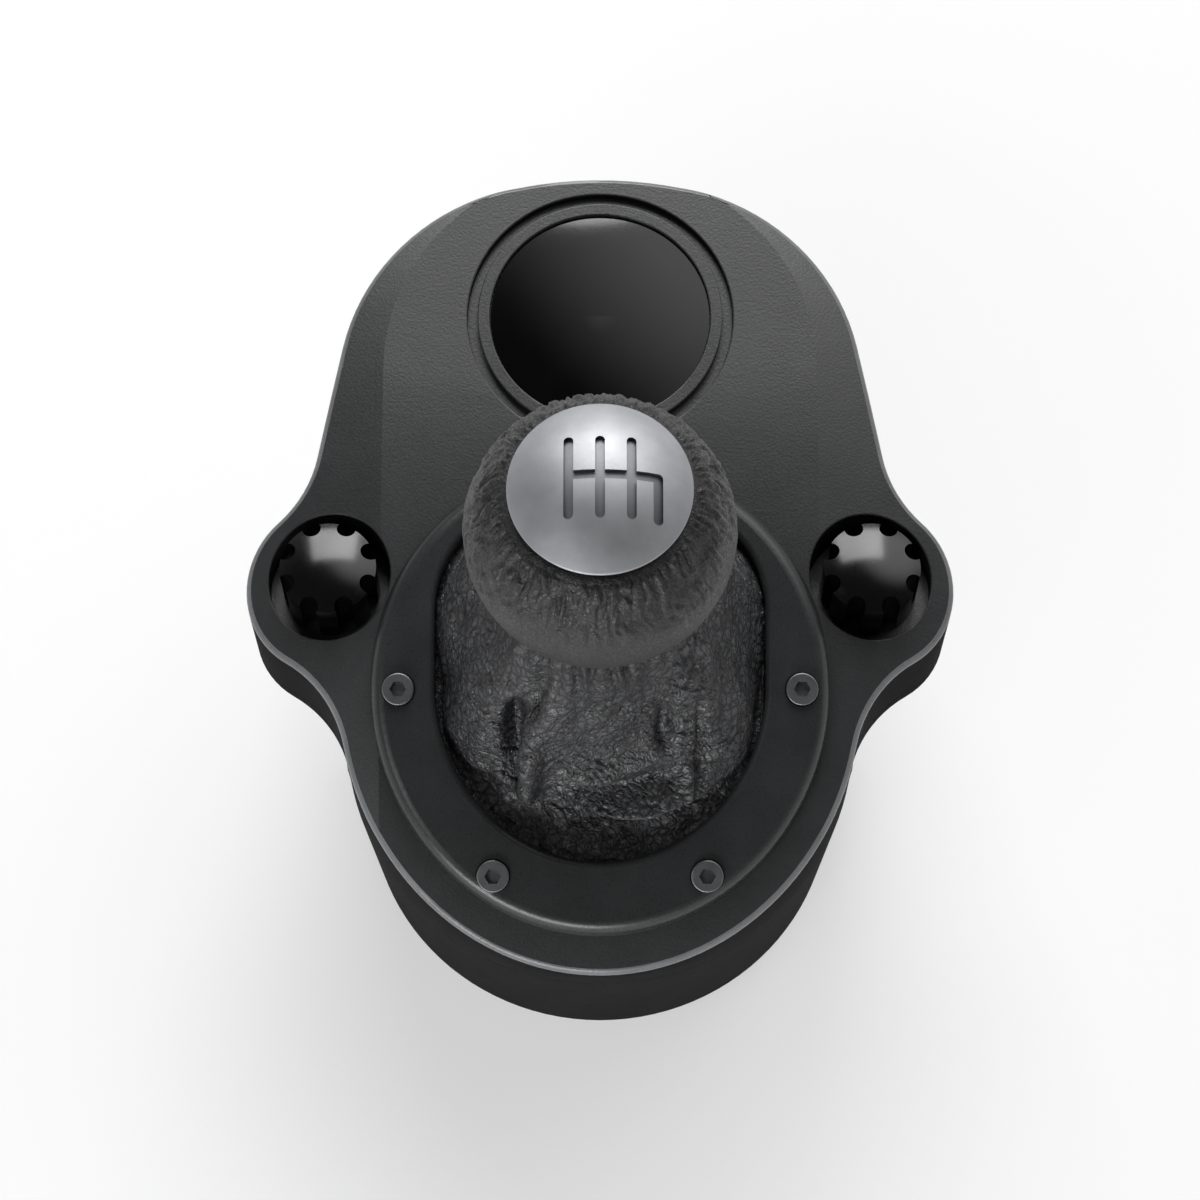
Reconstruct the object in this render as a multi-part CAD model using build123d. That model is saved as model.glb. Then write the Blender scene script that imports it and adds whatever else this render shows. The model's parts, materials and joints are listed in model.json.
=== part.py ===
from build123d import *
import math
import os

# Sim racing gear shifter that clamps to the front edge of a desk.
# The driver sits on the -Y side, +Y points to the desk, and Z is zero under the feet.

# Fits and cuts
overrun = 1.0
running_gap = 0.05
slip_gap = 0.2
soft_gap = 0.3
seam_gap = 0.2

# Small screws
m3_radius = 1.5
m3_head_radius = 2.8
m3_head_height = 2.0
m3_length = 9.0
m3_boss = 4.0
recess_radius = 1.1
recess_depth = 1.0
head_edge_round = 0.35

# Socket screws
m4_radius = 2.0
m4_head_radius = 3.4
m4_head_height = 2.6
m4_socket_flats = 3.0
m4_socket_depth = 1.5
m4_head_sink = 1.5

# Feet and floor of the lower housing
foot_height = 1.2
foot_radius = 6.0
foot_recess = 0.6
belly_floor = 3.0
belly_wall = 2.8
belly_edge_round = 5.0

# Lever centre line and its pivot, which stands on the frame inside the housing
lever_y = -29.0
lever_swing = 12.5
lever_select = 10.0
frame_rise = 15.8
pivot_rise = 52.0
frame_base_z = foot_height + belly_floor + frame_rise
pivot_z = frame_base_z + pivot_rise

# Heights where the cover meets the lower housing
plate_thickness = 3.0
ear_seam_rise = 10.0
ear_step_height = 8.0
front_step_height = 8.0
ear_seam_z = pivot_z + ear_seam_rise
rear_seam_z = ear_seam_z - ear_step_height
front_seam_z = rear_seam_z - front_step_height

# Lever block and gimbal ring
block_half = 11.0
block_top = 15.0
block_bottom = 15.0
block_edge_cut = 1.0
block_tail_reach = 6.0
tail_thickness = 4.0
cross_pin_radius = 3.0
cross_pin_inner = 6.0
centring_room = 5.0
ring_wall_x = 8.0
ring_gap_y = 0.5
ring_wall_y = 7.5
ring_up = 7.0
ring_down = 14.0
ring_corner_round = 2.0
trunnion_radius = 4.0
trunnion_set = 2.0
shoulder_radius = 6.0
centring_drop = 11.0
centring_radius = 2.5
centring_wire = 0.8
select_sensor_size = (18.0, 7.0, 18.0)
sensor_edge_round = 1.0
switch_size = (10.0, 6.0, 8.0)
switch_button_radius = 1.5
switch_button_height = 1.0
block_tail = block_half + block_tail_reach
ring_inner_x = block_half + centring_room

# Mechanism frame and gate
frame_room = 9.0
frame_foot = 8.6
frame_sheet = 3.0
frame_side_half = 11.0
frame_side_round = 5.5
frame_side_top = 12.0
frame_base_half = 24.0
frame_screw_inset = 3.4
frame_screw_inset_y = 4.0
bush_radius = 5.5
bush_flange_radius = 7.5
bush_flange = 1.5
gate_half_x = 24.0
gate_half_y = 23.0
gate_thickness = 3.0
gate_slot = 5.4
gate_end_play = 0.3
gate_screw_inset_x = 3.2
gate_screw_inset_y = 2.8
gate_ledge = 2.2
sensor_stub_radius = 2.0
sensor_size = (6.0, 18.0, 22.0)
frame_side_x = ring_inner_x + ring_wall_x + frame_room
frame_base_x = frame_side_x + frame_foot
frame_screw_x = frame_base_x - frame_screw_inset
frame_screw_y = frame_base_half - frame_screw_inset_y
gate_screw_x = gate_half_x - gate_screw_inset_x
gate_screw_y = gate_half_y - gate_screw_inset_y
frame_window = gate_screw_y - gate_ledge

# Belly of the lower housing, which goes round the frame and leans back towards the floor
frame_side_gap = 1.6
frame_front_gap = 0.85
front_rake = 8.05
lean_start_rise = 9.0
belly_shoulder = 4.0
belly_half = frame_base_x + frame_side_gap + belly_wall
lean_start_z = front_seam_z + lean_start_rise
lean_slope = math.tan(math.radians(front_rake))
frame_corner_x = frame_base_x - frame_sheet
frame_corner_y = frame_base_half - frame_sheet + lean_slope * (lean_start_z - frame_base_z)
front_radius = math.hypot(frame_corner_x, frame_corner_y) + frame_sheet + frame_front_gap + belly_wall
belly_shoulder_y = lever_y + belly_shoulder

# Body outline from above: two ears round the clamp knobs, and a rear drawn in to a bow
rear_reach = 83.8
rear_bow_half = 17.8
rear_bow_drop = 1.9
well_radius = 13.0
well_wall = 2.4
ear_rim = 4.9
ear_out = 2.3
ear_back = 22.5
ear_front_blend = 27.0
ear_rear_blend = 24.0
ear_front_reach = 10.7
desk_stop_reach = 37.5
side_front_out = 7.1
side_front_back = 8.0
side_rear_out = 0.5
side_rear_inset = 38.3
clamp_back = 1.5
ear_radius = well_radius + ear_rim
ear_x = front_radius + ear_out
ear_y = lever_y + ear_back
ear_front_y = lever_y - ear_front_reach
desk_stop_y = lever_y + desk_stop_reach
clamp_y = ear_y + clamp_back
side_front_x = ear_x + side_front_out
side_front_y = ear_y + side_front_back
side_rear_x = front_radius + side_rear_out
side_rear_y = rear_reach - side_rear_inset

# Deck: a flat rear panel that bends down to the front, with bands that fall away at the sides
deck_rise = 41.3
deck_bend_radius = 315.0
rear_rise = 4.55
bend_turn = 32.0
flat_length = 43.3
panel_half = 46.3
band_reach = 50.0
band_fall = 10.0
crown_depth = 62.0
deck_thickness = 3.0
cover_wall = 2.6
crown_y = rear_reach - flat_length
crown_z = rear_seam_z + deck_rise

# Feet under the belly
foot_side_inset = 16.0
foot_front_reach = 21.0
foot_rear_inset = 10.5
foot_x = belly_half - foot_side_inset
foot_front_y = lever_y - foot_front_reach
foot_rear_y = desk_stop_y - foot_rear_inset

# Badge at the rear of the deck
badge_inset = 32.3
badge_disc_radius = 23.5
badge_bezel_width = 2.6
badge_groove_width = 2.2
badge_pocket_depth = 1.8
badge_boss_thickness = 1.6
badge_bezel_proud = 0.25
badge_disc_dome = 0.7
bezel_edge_round = 0.25
badge_y = rear_reach - badge_inset
badge_bezel_radius = badge_disc_radius + slip_gap + badge_bezel_width
badge_groove_radius = badge_bezel_radius + badge_groove_width

# Trim ring of the boot, its opening and its six screws
ring_margin = 6.8
ring_band = 13.5
ring_screw_inset = 6.0
opening_rear_reach = 37.0
opening_rear_round = 22.0
ring_lift = 1.2
ring_thickness = 3.7
ring_outer_round = 3.0
ring_inner_round = 1.2
ring_side_angles = (0, 180, -58, -122)
ring_rear_screw_x = 11.1
ring_rear_screw_back = 4.6
ring_screw_boss = 4.2
ring_screw_depth = 9.0
ring_radius = front_radius - ring_margin
opening_half = ring_radius - ring_band
opening_rear_y = lever_y + opening_rear_reach
ring_screw_circle = ring_radius - ring_screw_inset
ring_rear_screw_y = opening_rear_y + ring_rear_screw_back

# Leather boot
leather = 1.0
boot_margin = 0.8
boot_flange_inset = 3.0
boot_base_sink = 3.0
boot_height = 36.7
boot_rise_shares = (0.0, 0.14, 0.34, 0.62, 1.0)
boot_width_shares = (1.0, 0.97, 0.78, 0.52, 0.38)
boot_flange_radius = ring_radius - boot_flange_inset
boot_top_z = crown_z + boot_height

# Knob
knob_radius = 25.5
knob_skin = 2.0
cap_height = 7.1
cap_lip = 3.15
cap_spigot_depth = 2.4
cap_edge_round = 0.5
cap_seam = 0.35
groove_width = 1.75
groove_length = 16.0
groove_pitch = 5.65
groove_depth = 0.9
reverse_column_out = 4.75
neck_radius = 9.0
neck_length = 4.0
neck_gap = 3.5
cap_seat = knob_radius - cap_height
cap_spigot_radius = math.sqrt(knob_radius ** 2 - cap_seat ** 2) - cap_lip
reverse_column_x = groove_pitch + reverse_column_out
knob_z = boot_top_z + leather + neck_gap + neck_length + knob_radius

# Lever rod and what it carries
rod_radius = 5.0
rod_top_inset = 11.0
rod_below_block = 9.0
pin_radius = 2.0
pin_past_gate = 1.0
pin_taper = 4.0
collar_radius = 14.0
collar_thickness = 4.0
clip_radius = 7.5
clip_thickness = 1.2
insert_radius = 7.5
insert_length = 16.0
boot_collar_radius = 11.4
boot_collar_height = 9.0
spring_wire = 1.6
spring_radius = 8.0
spring_length = 16.0
rod_bottom_drop = block_bottom + rod_below_block
pin_drop = pivot_rise + pin_past_gate
collar_lift = block_top + spring_length

# Circuit board
board_x = 44.0
board_depth = 17.0
board_reach = 25.5
board_thickness = 1.6
board_lift = 6.0
board_inset = 3.0
board_boss = 2.6
board_corner_round = 1.0
board_screw_radius = 0.75
board_screw_length = 5.0
connector_size = (8.0, 6.0, 5.5)
connector_pitch = 12.0
connector_wall = 1.0
connector_back = 1.5
chip_size = 7.0
chip_height = 1.2
chip_forward = 5.25
board_y = lever_y - board_reach

# Cable inlet in the rear wall of the belly
inlet_z = 16.0
inlet_radius = 5.0
inlet_flange_radius = 7.0
inlet_flange = 1.6
inlet_bore = 2.6

# Underside: pads on the desk and threaded inserts for a rig
pad_thickness = 1.0
pad_width = 20.0
pad_length = 44.0
pad_x = 29.0
pad_rear_inset = 23.8
pad_corner_round = 2.0
rig_rear_inset = 23.8
rig_spacing = 32.0
rig_insert_radius = 4.2
rig_insert_length = 10.0
rig_bore_radius = 2.5
rig_boss_radius = 6.5
rig_boss_height = 12.0
pad_y = rear_reach - pad_rear_inset - pad_length / 2
rig_y = rear_reach - rig_rear_inset - rig_spacing / 2

# Screws that hold the cover to the lower housing
rear_screw_x = 33.0
rear_screw_inset = 17.8
middle_screw_inset = 4.3
middle_screw_back = 13.5
front_screw_inset = 8.2
front_screw_turn = 48.3
cover_screw_depth = 14.0
cover_screw_room = 1.0
lug_thickness = 5.0
rear_screw_y = rear_reach - rear_screw_inset
middle_screw_x = side_rear_x - middle_screw_inset
middle_screw_y = desk_stop_y + middle_screw_back
front_screw_x = (front_radius - front_screw_inset) * math.sin(math.radians(front_screw_turn))
front_screw_y = lever_y - (front_radius - front_screw_inset) * math.cos(math.radians(front_screw_turn))

# Desk clamps
well_depth = 17.3
clamp_knob_gap = 2.85
clamp_knob_sink = 4.3
clamp_knob_dome = 2.0
scallops = 8
scallop_radius = 1.95
scallop_inset = 0.65
clamp_screw_radius = 4.0
clamp_screw_low_gap = 3.3
clamp_screw_cut = 1.0
clamp_bush_wall = 2.0
clamp_clip_width = 3.0
jaw_height = 12.0
jaw_throat = 18.0
jaw_boss_radius = 9.0
jaw_inner_reach = 7.1
jaw_outer_reach = 6.9
jaw_rear_y = 45.0
jaw_pad = 2.0
jaw_pad_margin = 1.2
jaw_pad_front_gap = 3.5
jaw_corner_round = 3.0
jaw_pad_round = 1.5
nut_radius = 6.5
nut_margin = 1.0
nut_ledge = 1.0
rail_reach = 3.2
rail_half = 3.5
rail_low_z = 8.0
well_floor_z = crown_z - well_depth
clamp_knob_radius = well_radius - clamp_knob_gap
clamp_knob_rim_z = crown_z - clamp_knob_sink
scallop_circle = clamp_knob_radius - scallop_inset
clamp_screw_low_z = foot_height + clamp_screw_low_gap
clamp_bush_radius = clamp_screw_radius + clamp_bush_wall
clamp_clip_radius = clamp_screw_radius + clamp_clip_width
jaw_inner_x = ear_x - jaw_inner_reach
jaw_outer_x = ear_x + jaw_outer_reach
jaw_pad_front_y = desk_stop_y + jaw_pad_front_gap
rail_x = belly_half + rail_reach

# Places worked out from the sizes above
deck_plane = Plane(
    origin=(0, crown_y, crown_z),
    x_dir=(1, 0, 0),
    z_dir=(0, -math.sin(math.radians(rear_rise)), math.cos(math.radians(rear_rise))),
)
bend_centre = deck_plane.origin - deck_plane.z_dir * deck_bend_radius
seat_z = rear_seam_z - plate_thickness - pad_thickness
lever_line = Pos(0, lever_y, pivot_z)
nodes = {}


def place(name, *solids):
    """Keep the finished solids of one sub-part under its name."""
    nodes[name] = solids[0] if len(solids) == 1 else Compound(children=list(solids))


def block(x, y, z):
    """Box between two limits on each axis, each given as a pair."""
    size = [abs(pair[1] - pair[0]) for pair in (x, y, z)]
    middle = [(pair[0] + pair[1]) / 2 for pair in (x, y, z)]
    return Pos(*middle) * Box(*size)


def rod(radius, low, high):
    """Upright cylinder between two heights."""
    return Pos(0, 0, (low + high) / 2) * Cylinder(radius, high - low)


def tube(outer, inner, low, high):
    return rod(outer, low, high) - rod(inner, low - overrun, high + overrun)


def along_x(solid):
    """Turn an upright solid so that its axis points along +X."""
    return Rot(0, 90, 0) * solid


def along_y(solid):
    """Turn an upright solid so that its axis points along +Y."""
    return Rot(-90, 0, 0) * solid


def deck_spot(x, y, lift=0.0):
    """Plane on the bent part of the deck, square to it, lifted along its normal."""
    turn = math.asin((y - bend_centre.Y) / deck_bend_radius)
    normal = Vector(0, math.sin(turn), math.cos(turn))
    origin = Vector(x, bend_centre.Y, bend_centre.Z) + normal * (deck_bend_radius + lift)
    return Plane(origin=origin, x_dir=(1, 0, 0), z_dir=normal)


def socket_screw(radius, head_radius, head_height, length, socket, socket_depth):
    """Screw that stands on z = 0 under its head, with a socket in the head."""
    head = rod(head_radius, 0, head_height)
    head = fillet(head.edges().group_by(Axis.Z)[-1], head_edge_round)
    recess = extrude(RegularPolygon(socket / 2, 6, major_radius=False), socket_depth)
    return head + rod(radius, -length, 0) - Pos(0, 0, head_height - socket_depth) * recess


def small_screw(length=m3_length):
    head = rod(m3_head_radius, 0, m3_head_height)
    head = fillet(head.edges().group_by(Axis.Z)[-1], head_edge_round)
    recess = rod(recess_radius, m3_head_height - recess_depth, m3_head_height + overrun)
    return head + rod(m3_radius, -length, 0) - recess


def body_outline(inset=0.0):
    """Outline of the deck from above: round front, two ears, and a rear drawn in to a bow."""
    bow_radius = (rear_bow_half ** 2 + rear_bow_drop ** 2) / (2 * rear_bow_drop)
    bow_end = Vector(rear_bow_half, rear_reach - rear_bow_drop)
    bow_out = (bow_end - Vector(0, rear_reach - bow_radius)).normalized()
    side_front = Vector(side_front_x, side_front_y)
    side_rear = Vector(side_rear_x, side_rear_y)
    along = (side_rear - side_front).normalized()
    side_out = Vector(along.Y, -along.X)
    start = side_front - side_out * inset
    bow_start = bow_end - bow_out * inset

    right = Line(start, side_rear - side_out * inset)
    corner = TangentArc(right @ 1, bow_start, tangent=right % 1)
    bow = ThreePointArc(bow_start, (0, rear_reach - inset), (-bow_start.X, bow_start.Y))
    base = Polyline((-start.X, start.Y), (-belly_half, lever_y), (belly_half, lever_y), (start.X, start.Y))
    edges = [right, corner, bow, mirror(corner, Plane.YZ), mirror(right, Plane.YZ), base]
    shape = make_face(Curve() + edges) + Pos(0, lever_y) * Circle(front_radius - inset)
    for side in (-1, 1):
        shape += Pos(side * ear_x, ear_y) * Circle(ear_radius - inset)
    ear_front = shape.vertices().filter_by(lambda v: lever_y < v.Y < ear_y)
    shape = fillet(ear_front, ear_front_blend + inset)
    ear_rear = shape.vertices().filter_by(lambda v: desk_stop_y - inset < v.Y < side_rear_y - ear_radius)
    return fillet(ear_rear, ear_rear_blend + inset)


def crown(lift=0.0):
    """Everything under the deck surface, with the surface moved along its normal."""
    far = panel_half + band_reach
    fall = band_reach * math.tan(math.radians(band_fall))
    cone = Pos(0, 0, lift - fall / 2) * Cone(far, panel_half, fall)
    dome = cone + rod(far, lift - fall - crown_depth, lift - fall)
    rear_half = block((-far, far), (0, far), (lift - fall - crown_depth, lift + overrun))
    section_plane = Plane(origin=deck_plane.origin, x_dir=(1, 0, 0), z_dir=-deck_plane.y_dir)
    low = lift - fall - crown_depth
    profile = Polyline((-far, low), (-far, lift - fall), (-panel_half, lift), (panel_half, lift),
                       (far, lift - fall), (far, low), close=True)
    front = revolve(section_plane * make_face(profile), Axis(bend_centre, (1, 0, 0)), bend_turn)
    return deck_plane * (dome & rear_half) + front


def deck_layer(shape, low, high):
    """Part of a plan shape that lies between two lifts over the bent deck."""
    half = front_radius
    section_plane = Plane(origin=deck_plane.origin, x_dir=(1, 0, 0), z_dir=-deck_plane.y_dir)
    strip = Pos(0, (low + high) / 2) * Rectangle(2 * half, high - low)
    layer = revolve(section_plane * strip, Axis(bend_centre, (1, 0, 0)), bend_turn)
    return extrude(shape, crown_z + knob_radius) & layer


def front_lean(inset, low, high):
    """Round front that leans back towards the floor, as an oblique cylinder."""
    circle = Pos(0, lever_y - lean_slope * (high - lean_start_z), high) * Circle(front_radius - inset)
    drop = Vector(0, lean_slope, -1)
    return extrude(circle, (high - low) * drop.length, dir=drop)


def front_trim(inset):
    """What lies in front of the leaning wall, below the deck."""
    reach = front_radius + overrun
    zone = block((-reach, reach), (lever_y - reach, ear_front_y), (front_seam_z - overrun, lean_start_z))
    return zone - front_lean(inset, front_seam_z - 2 * overrun, lean_start_z + overrun)


def gaiter_shape(half, rear, corner):
    """Plan shape about the lever: round at the front, squarer at the rear."""
    shape = Pos(0, rear / 2) * Rectangle(2 * half, rear)
    shape = fillet(shape.vertices().group_by(Axis.Y)[-1], corner)
    return shape + Circle(half)


def opening(margin=0.0):
    """Opening of the trim ring, or a shape that stays a margin outside it."""
    rear = opening_rear_y - lever_y + margin
    return Pos(0, lever_y) * gaiter_shape(opening_half + margin, rear, opening_rear_round + margin)


def ring_screw_planes(lift):
    """Planes of the six screws of the trim ring, square to the deck."""
    spots = [(ring_screw_circle * math.cos(math.radians(a)),
              lever_y + ring_screw_circle * math.sin(math.radians(a))) for a in ring_side_angles]
    spots += [(side * ring_rear_screw_x, ring_rear_screw_y) for side in (-1, 1)]
    return [deck_spot(x, y, lift) for x, y in spots]


def corner_spots(x, y):
    """Four places about a centre, at plus and minus x and y."""
    return [(side * x, end * y) for side in (-1, 1) for end in (-1, 1)]


def board_screw_spots():
    half_x = board_x / 2 - board_inset
    half_y = board_depth / 2 - board_inset
    return [(x, board_y + y) for x, y in corner_spots(half_x, half_y)]


def cover_screw_spots():
    """Plan place and the height under the head of each screw that holds the cover."""
    plate_z = rear_seam_z - plate_thickness
    spots = []
    for side in (-1, 1):
        spots.append((side * rear_screw_x, rear_screw_y, plate_z + m3_head_height + slip_gap))
        spots.append((side * middle_screw_x, middle_screw_y, plate_z + m3_head_height + slip_gap))
        spots.append((side * front_screw_x, front_screw_y, front_seam_z - lug_thickness))
    return spots


def top_cover():
    far = rear_reach + ear_x
    sides = (-far, far)
    shape = extrude(body_outline(), crown_z + band_reach) & crown()
    shape -= front_trim(0)
    shape -= block(sides, sides, (-overrun, front_seam_z + seam_gap))
    shape -= block(sides, (ear_front_y - seam_gap, far), (0, rear_seam_z + seam_gap))
    shape -= block(sides, (ear_front_y - seam_gap, desk_stop_y + seam_gap), (0, ear_seam_z + seam_gap))

    hollow = extrude(body_outline(cover_wall), crown_z + band_reach) & crown(-deck_thickness)
    hollow -= front_trim(cover_wall)
    solid_deck = shape
    shape -= hollow

    # Wells of the two clamp knobs, badge pocket, and bosses, all kept inside the outer form
    added = []
    for side in (-1, 1):
        well = rod(well_radius + well_wall, well_floor_z - well_wall, crown_z)
        added.append(Pos(side * ear_x, clamp_y) * well)
    for x, y, head_z in cover_screw_spots():
        foot = rear_seam_z + seam_gap if y > desk_stop_y else front_seam_z + seam_gap
        added.append(Pos(x, y) * rod(m3_boss, foot, crown_z))
    added.append(deck_plane * Pos(0, badge_y - crown_y)
                 * rod(badge_groove_radius + cover_wall, -deck_thickness - badge_boss_thickness, 0))
    for plane in ring_screw_planes(0):
        added.append(plane * rod(ring_screw_boss, -ring_screw_depth, 0))
    for piece in added:
        shape += piece & solid_deck

    for side in (-1, 1):
        shape -= Pos(side * ear_x, clamp_y) * rod(well_radius, well_floor_z, crown_z + overrun)
        shape -= Pos(side * ear_x, clamp_y) * rod(clamp_screw_radius + slip_gap, ear_seam_z, crown_z)
    for x, y, head_z in cover_screw_spots():
        shape -= Pos(x, y) * rod(m3_radius + running_gap, head_z - overrun, head_z + cover_screw_depth)
    shape -= deck_plane * Pos(0, badge_y - crown_y) * rod(badge_groove_radius, -badge_pocket_depth, overrun)
    for plane in ring_screw_planes(0):
        shape -= plane * rod(m4_radius + running_gap, -ring_screw_depth - overrun, overrun)
    shape -= Pos(0, 0, ear_seam_z) * extrude(opening(soft_gap), crown_z)
    return shape


def lower_housing():
    far = rear_reach + ear_x
    sides = (-far, far)
    floor_z = foot_height
    outline = extrude(body_outline(), crown_z)
    plate_z = rear_seam_z - plate_thickness
    ear_plate_z = ear_seam_z - plate_thickness
    board_z = floor_z + belly_floor + board_lift

    def belly(inset, low, high):
        half = belly_half - inset
        rear = block((-half, half), (lever_y, desk_stop_y - inset), (low, high))
        rear = fillet(rear.edges().filter_by(Axis.Z).group_by(Axis.Y)[-1], belly_edge_round - inset)
        front = front_lean(inset, low, high)
        front &= block(sides, (-far, belly_shoulder_y - inset), (low - overrun, high + overrun))
        return rear + front

    shape = belly(0, floor_z, ear_seam_z)
    shape -= block(sides, (-far, ear_front_y), (front_seam_z, far))
    hollow = belly(belly_wall, floor_z + belly_floor, ear_seam_z + overrun)

    # Plate that lies on the desk, ear floors, and the small wall between their two heights
    shape += outline & block(sides, (desk_stop_y - belly_wall, far), (plate_z, rear_seam_z))
    shape += outline & block(sides, (ear_front_y, desk_stop_y), (ear_plate_z, ear_seam_z))
    inner = extrude(body_outline(cover_wall + seam_gap), crown_z)
    shape += inner & block(sides, (desk_stop_y - belly_wall, desk_stop_y), (plate_z, ear_seam_z))
    shape -= hollow

    # Guide rails of the jaws, bosses and lugs
    for side in (-1, 1):
        rail = block((belly_half - belly_wall, rail_x), (clamp_y - rail_half, clamp_y + rail_half),
                     (rail_low_z, ear_plate_z))
        shape += rail if side > 0 else mirror(rail, Plane.YZ)
    for x, y in corner_spots(frame_screw_x, frame_screw_y):
        shape += Pos(x, lever_y + y) * rod(m3_boss, floor_z + belly_floor, frame_base_z)
    for x, y in board_screw_spots():
        shape += Pos(x, y) * rod(board_boss, floor_z + belly_floor, board_z)
    for y in (rig_y - rig_spacing / 2, rig_y + rig_spacing / 2):
        shape += Pos(0, y) * rod(rig_boss_radius, plate_z, plate_z + rig_boss_height)
    for x, y, head_z in cover_screw_spots():
        if y < desk_stop_y:
            lug_z = front_seam_z - lug_thickness
            lug = block((-m3_boss, m3_boss), (-front_radius, m3_boss), (lug_z, front_seam_z))
            turn = math.degrees(math.atan2(x, lever_y - y))
            lug = Pos(x, y) * Rot(0, 0, turn) * lug
            shape += lug & front_lean(overrun, lug_z, front_seam_z)

    # Holes
    for side in (-1, 1):
        bush_hole = rod(clamp_bush_radius + running_gap, plate_z, ear_seam_z + overrun)
        shape -= Pos(side * ear_x, clamp_y) * bush_hole
        for y in (foot_front_y, foot_rear_y):
            shape -= Pos(side * foot_x, y) * rod(foot_radius + slip_gap, 0, floor_z + foot_recess)
    for x, y in corner_spots(frame_screw_x, frame_screw_y):
        screw_hole = rod(m3_radius + running_gap, frame_base_z - m3_length, frame_base_z + overrun)
        shape -= Pos(x, lever_y + y) * screw_hole
    for x, y in board_screw_spots():
        screw_hole = rod(board_screw_radius + running_gap, floor_z + belly_floor, board_z + overrun)
        shape -= Pos(x, y) * screw_hole
    for x, y, head_z in cover_screw_spots():
        shape -= Pos(x, y) * rod(m3_radius + slip_gap, head_z - overrun, rear_seam_z + overrun)
        if y > desk_stop_y:
            shape -= Pos(x, y) * rod(m3_head_radius + slip_gap, plate_z - overrun, head_z)
    for y in (rig_y - rig_spacing / 2, rig_y + rig_spacing / 2):
        shape -= Pos(0, y) * rod(rig_insert_radius, plate_z - overrun, plate_z + rig_insert_length)
    shape -= Pos(0, desk_stop_y, inlet_z) * along_y(rod(inlet_radius, -belly_wall - overrun, overrun))
    return shape


def badge():
    spot = deck_plane * Pos(0, badge_y - crown_y)
    bezel = tube(badge_bezel_radius, badge_disc_radius + slip_gap, -badge_pocket_depth, badge_bezel_proud)
    bezel = fillet(bezel.edges().group_by(Axis.Z)[-1], bezel_edge_round)
    dome_radius = (badge_disc_radius ** 2 + badge_disc_dome ** 2) / (2 * badge_disc_dome)
    disc = rod(badge_disc_radius, -badge_pocket_depth, 0)
    disc &= Pos(0, 0, -dome_radius) * Sphere(dome_radius)
    place("badge_bezel", spot * bezel)
    place("badge_disc", spot * disc)


def deck_lift(point):
    """Height of a point over the bent deck, along the deck's normal."""
    return math.hypot(point.Y - bend_centre.Y, point.Z - bend_centre.Z) - deck_bend_radius


def edges_at_lift(shape, lift):
    """Edges that run along the deck at one height over it."""
    return shape.edges().filter_by(
        lambda e: all(abs(deck_lift(e @ share) - lift) < running_gap for share in (0.0, 0.3, 0.7, 1.0)))


def boot_ring():
    top = ring_lift + ring_thickness
    disc = deck_layer(Pos(0, lever_y) * Circle(ring_radius), ring_lift, top)
    shape = fillet(edges_at_lift(disc, top), ring_outer_round)
    shape -= Pos(0, 0, ear_seam_z) * extrude(opening(), crown_z)
    inner = edges_at_lift(shape, top).filter_by(
        lambda e: math.hypot((e @ 0.5).X, (e @ 0.5).Y - lever_y) < ring_radius - 2 * ring_outer_round)
    shape = fillet(inner, ring_inner_round)
    for plane in ring_screw_planes(top):
        shape -= plane * rod(m4_head_radius + slip_gap, -m4_head_sink, ring_thickness)
        shape -= plane * rod(m4_radius + slip_gap, -ring_thickness - ring_lift, overrun)
    place("boot_ring", shape)

    screw = socket_screw(m4_radius, m4_head_radius, m4_head_height,
                         ring_screw_depth, m4_socket_flats, m4_socket_depth)
    place("boot_ring_screws", *[plane * screw for plane in ring_screw_planes(top - m4_head_sink)])


def leather_boot():
    """Gaiter from the flange under the trim ring up to the collar on the lever."""
    base = deck_spot(0, lever_y, -boot_base_sink)
    top = Plane(origin=(0, lever_y, boot_top_z))
    rise = top.origin - base.origin
    tilt = math.degrees(math.asin(base.z_dir.Y))

    def section(level, margin):
        width = boot_width_shares[level]
        half = (opening_half - boot_margin) * width - margin
        rear = (opening_rear_y - lever_y - boot_margin) * width - margin
        corner = (opening_rear_round - boot_margin) * width - margin
        share = boot_rise_shares[level]
        spot = base.origin + rise * share
        lean = Rot(tilt * (share - 1), 0, 0)
        return Pos(spot.X, spot.Y, spot.Z) * lean * gaiter_shape(half, rear, corner)

    levels = range(len(boot_rise_shares))
    outer = loft([section(i, 0) for i in levels])
    inner = loft([section(i, leather) for i in levels])
    flange = deck_layer(Pos(0, lever_y) * Circle(boot_flange_radius), soft_gap / 2, soft_gap / 2 + leather)
    flange -= Pos(0, 0, ear_seam_z) * extrude(opening(-boot_margin - leather), crown_z)
    for plane in ring_screw_planes(0):
        flange -= plane * rod(m4_radius + slip_gap, -overrun, leather + overrun)
    place("leather_boot", outer - inner + flange)


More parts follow.
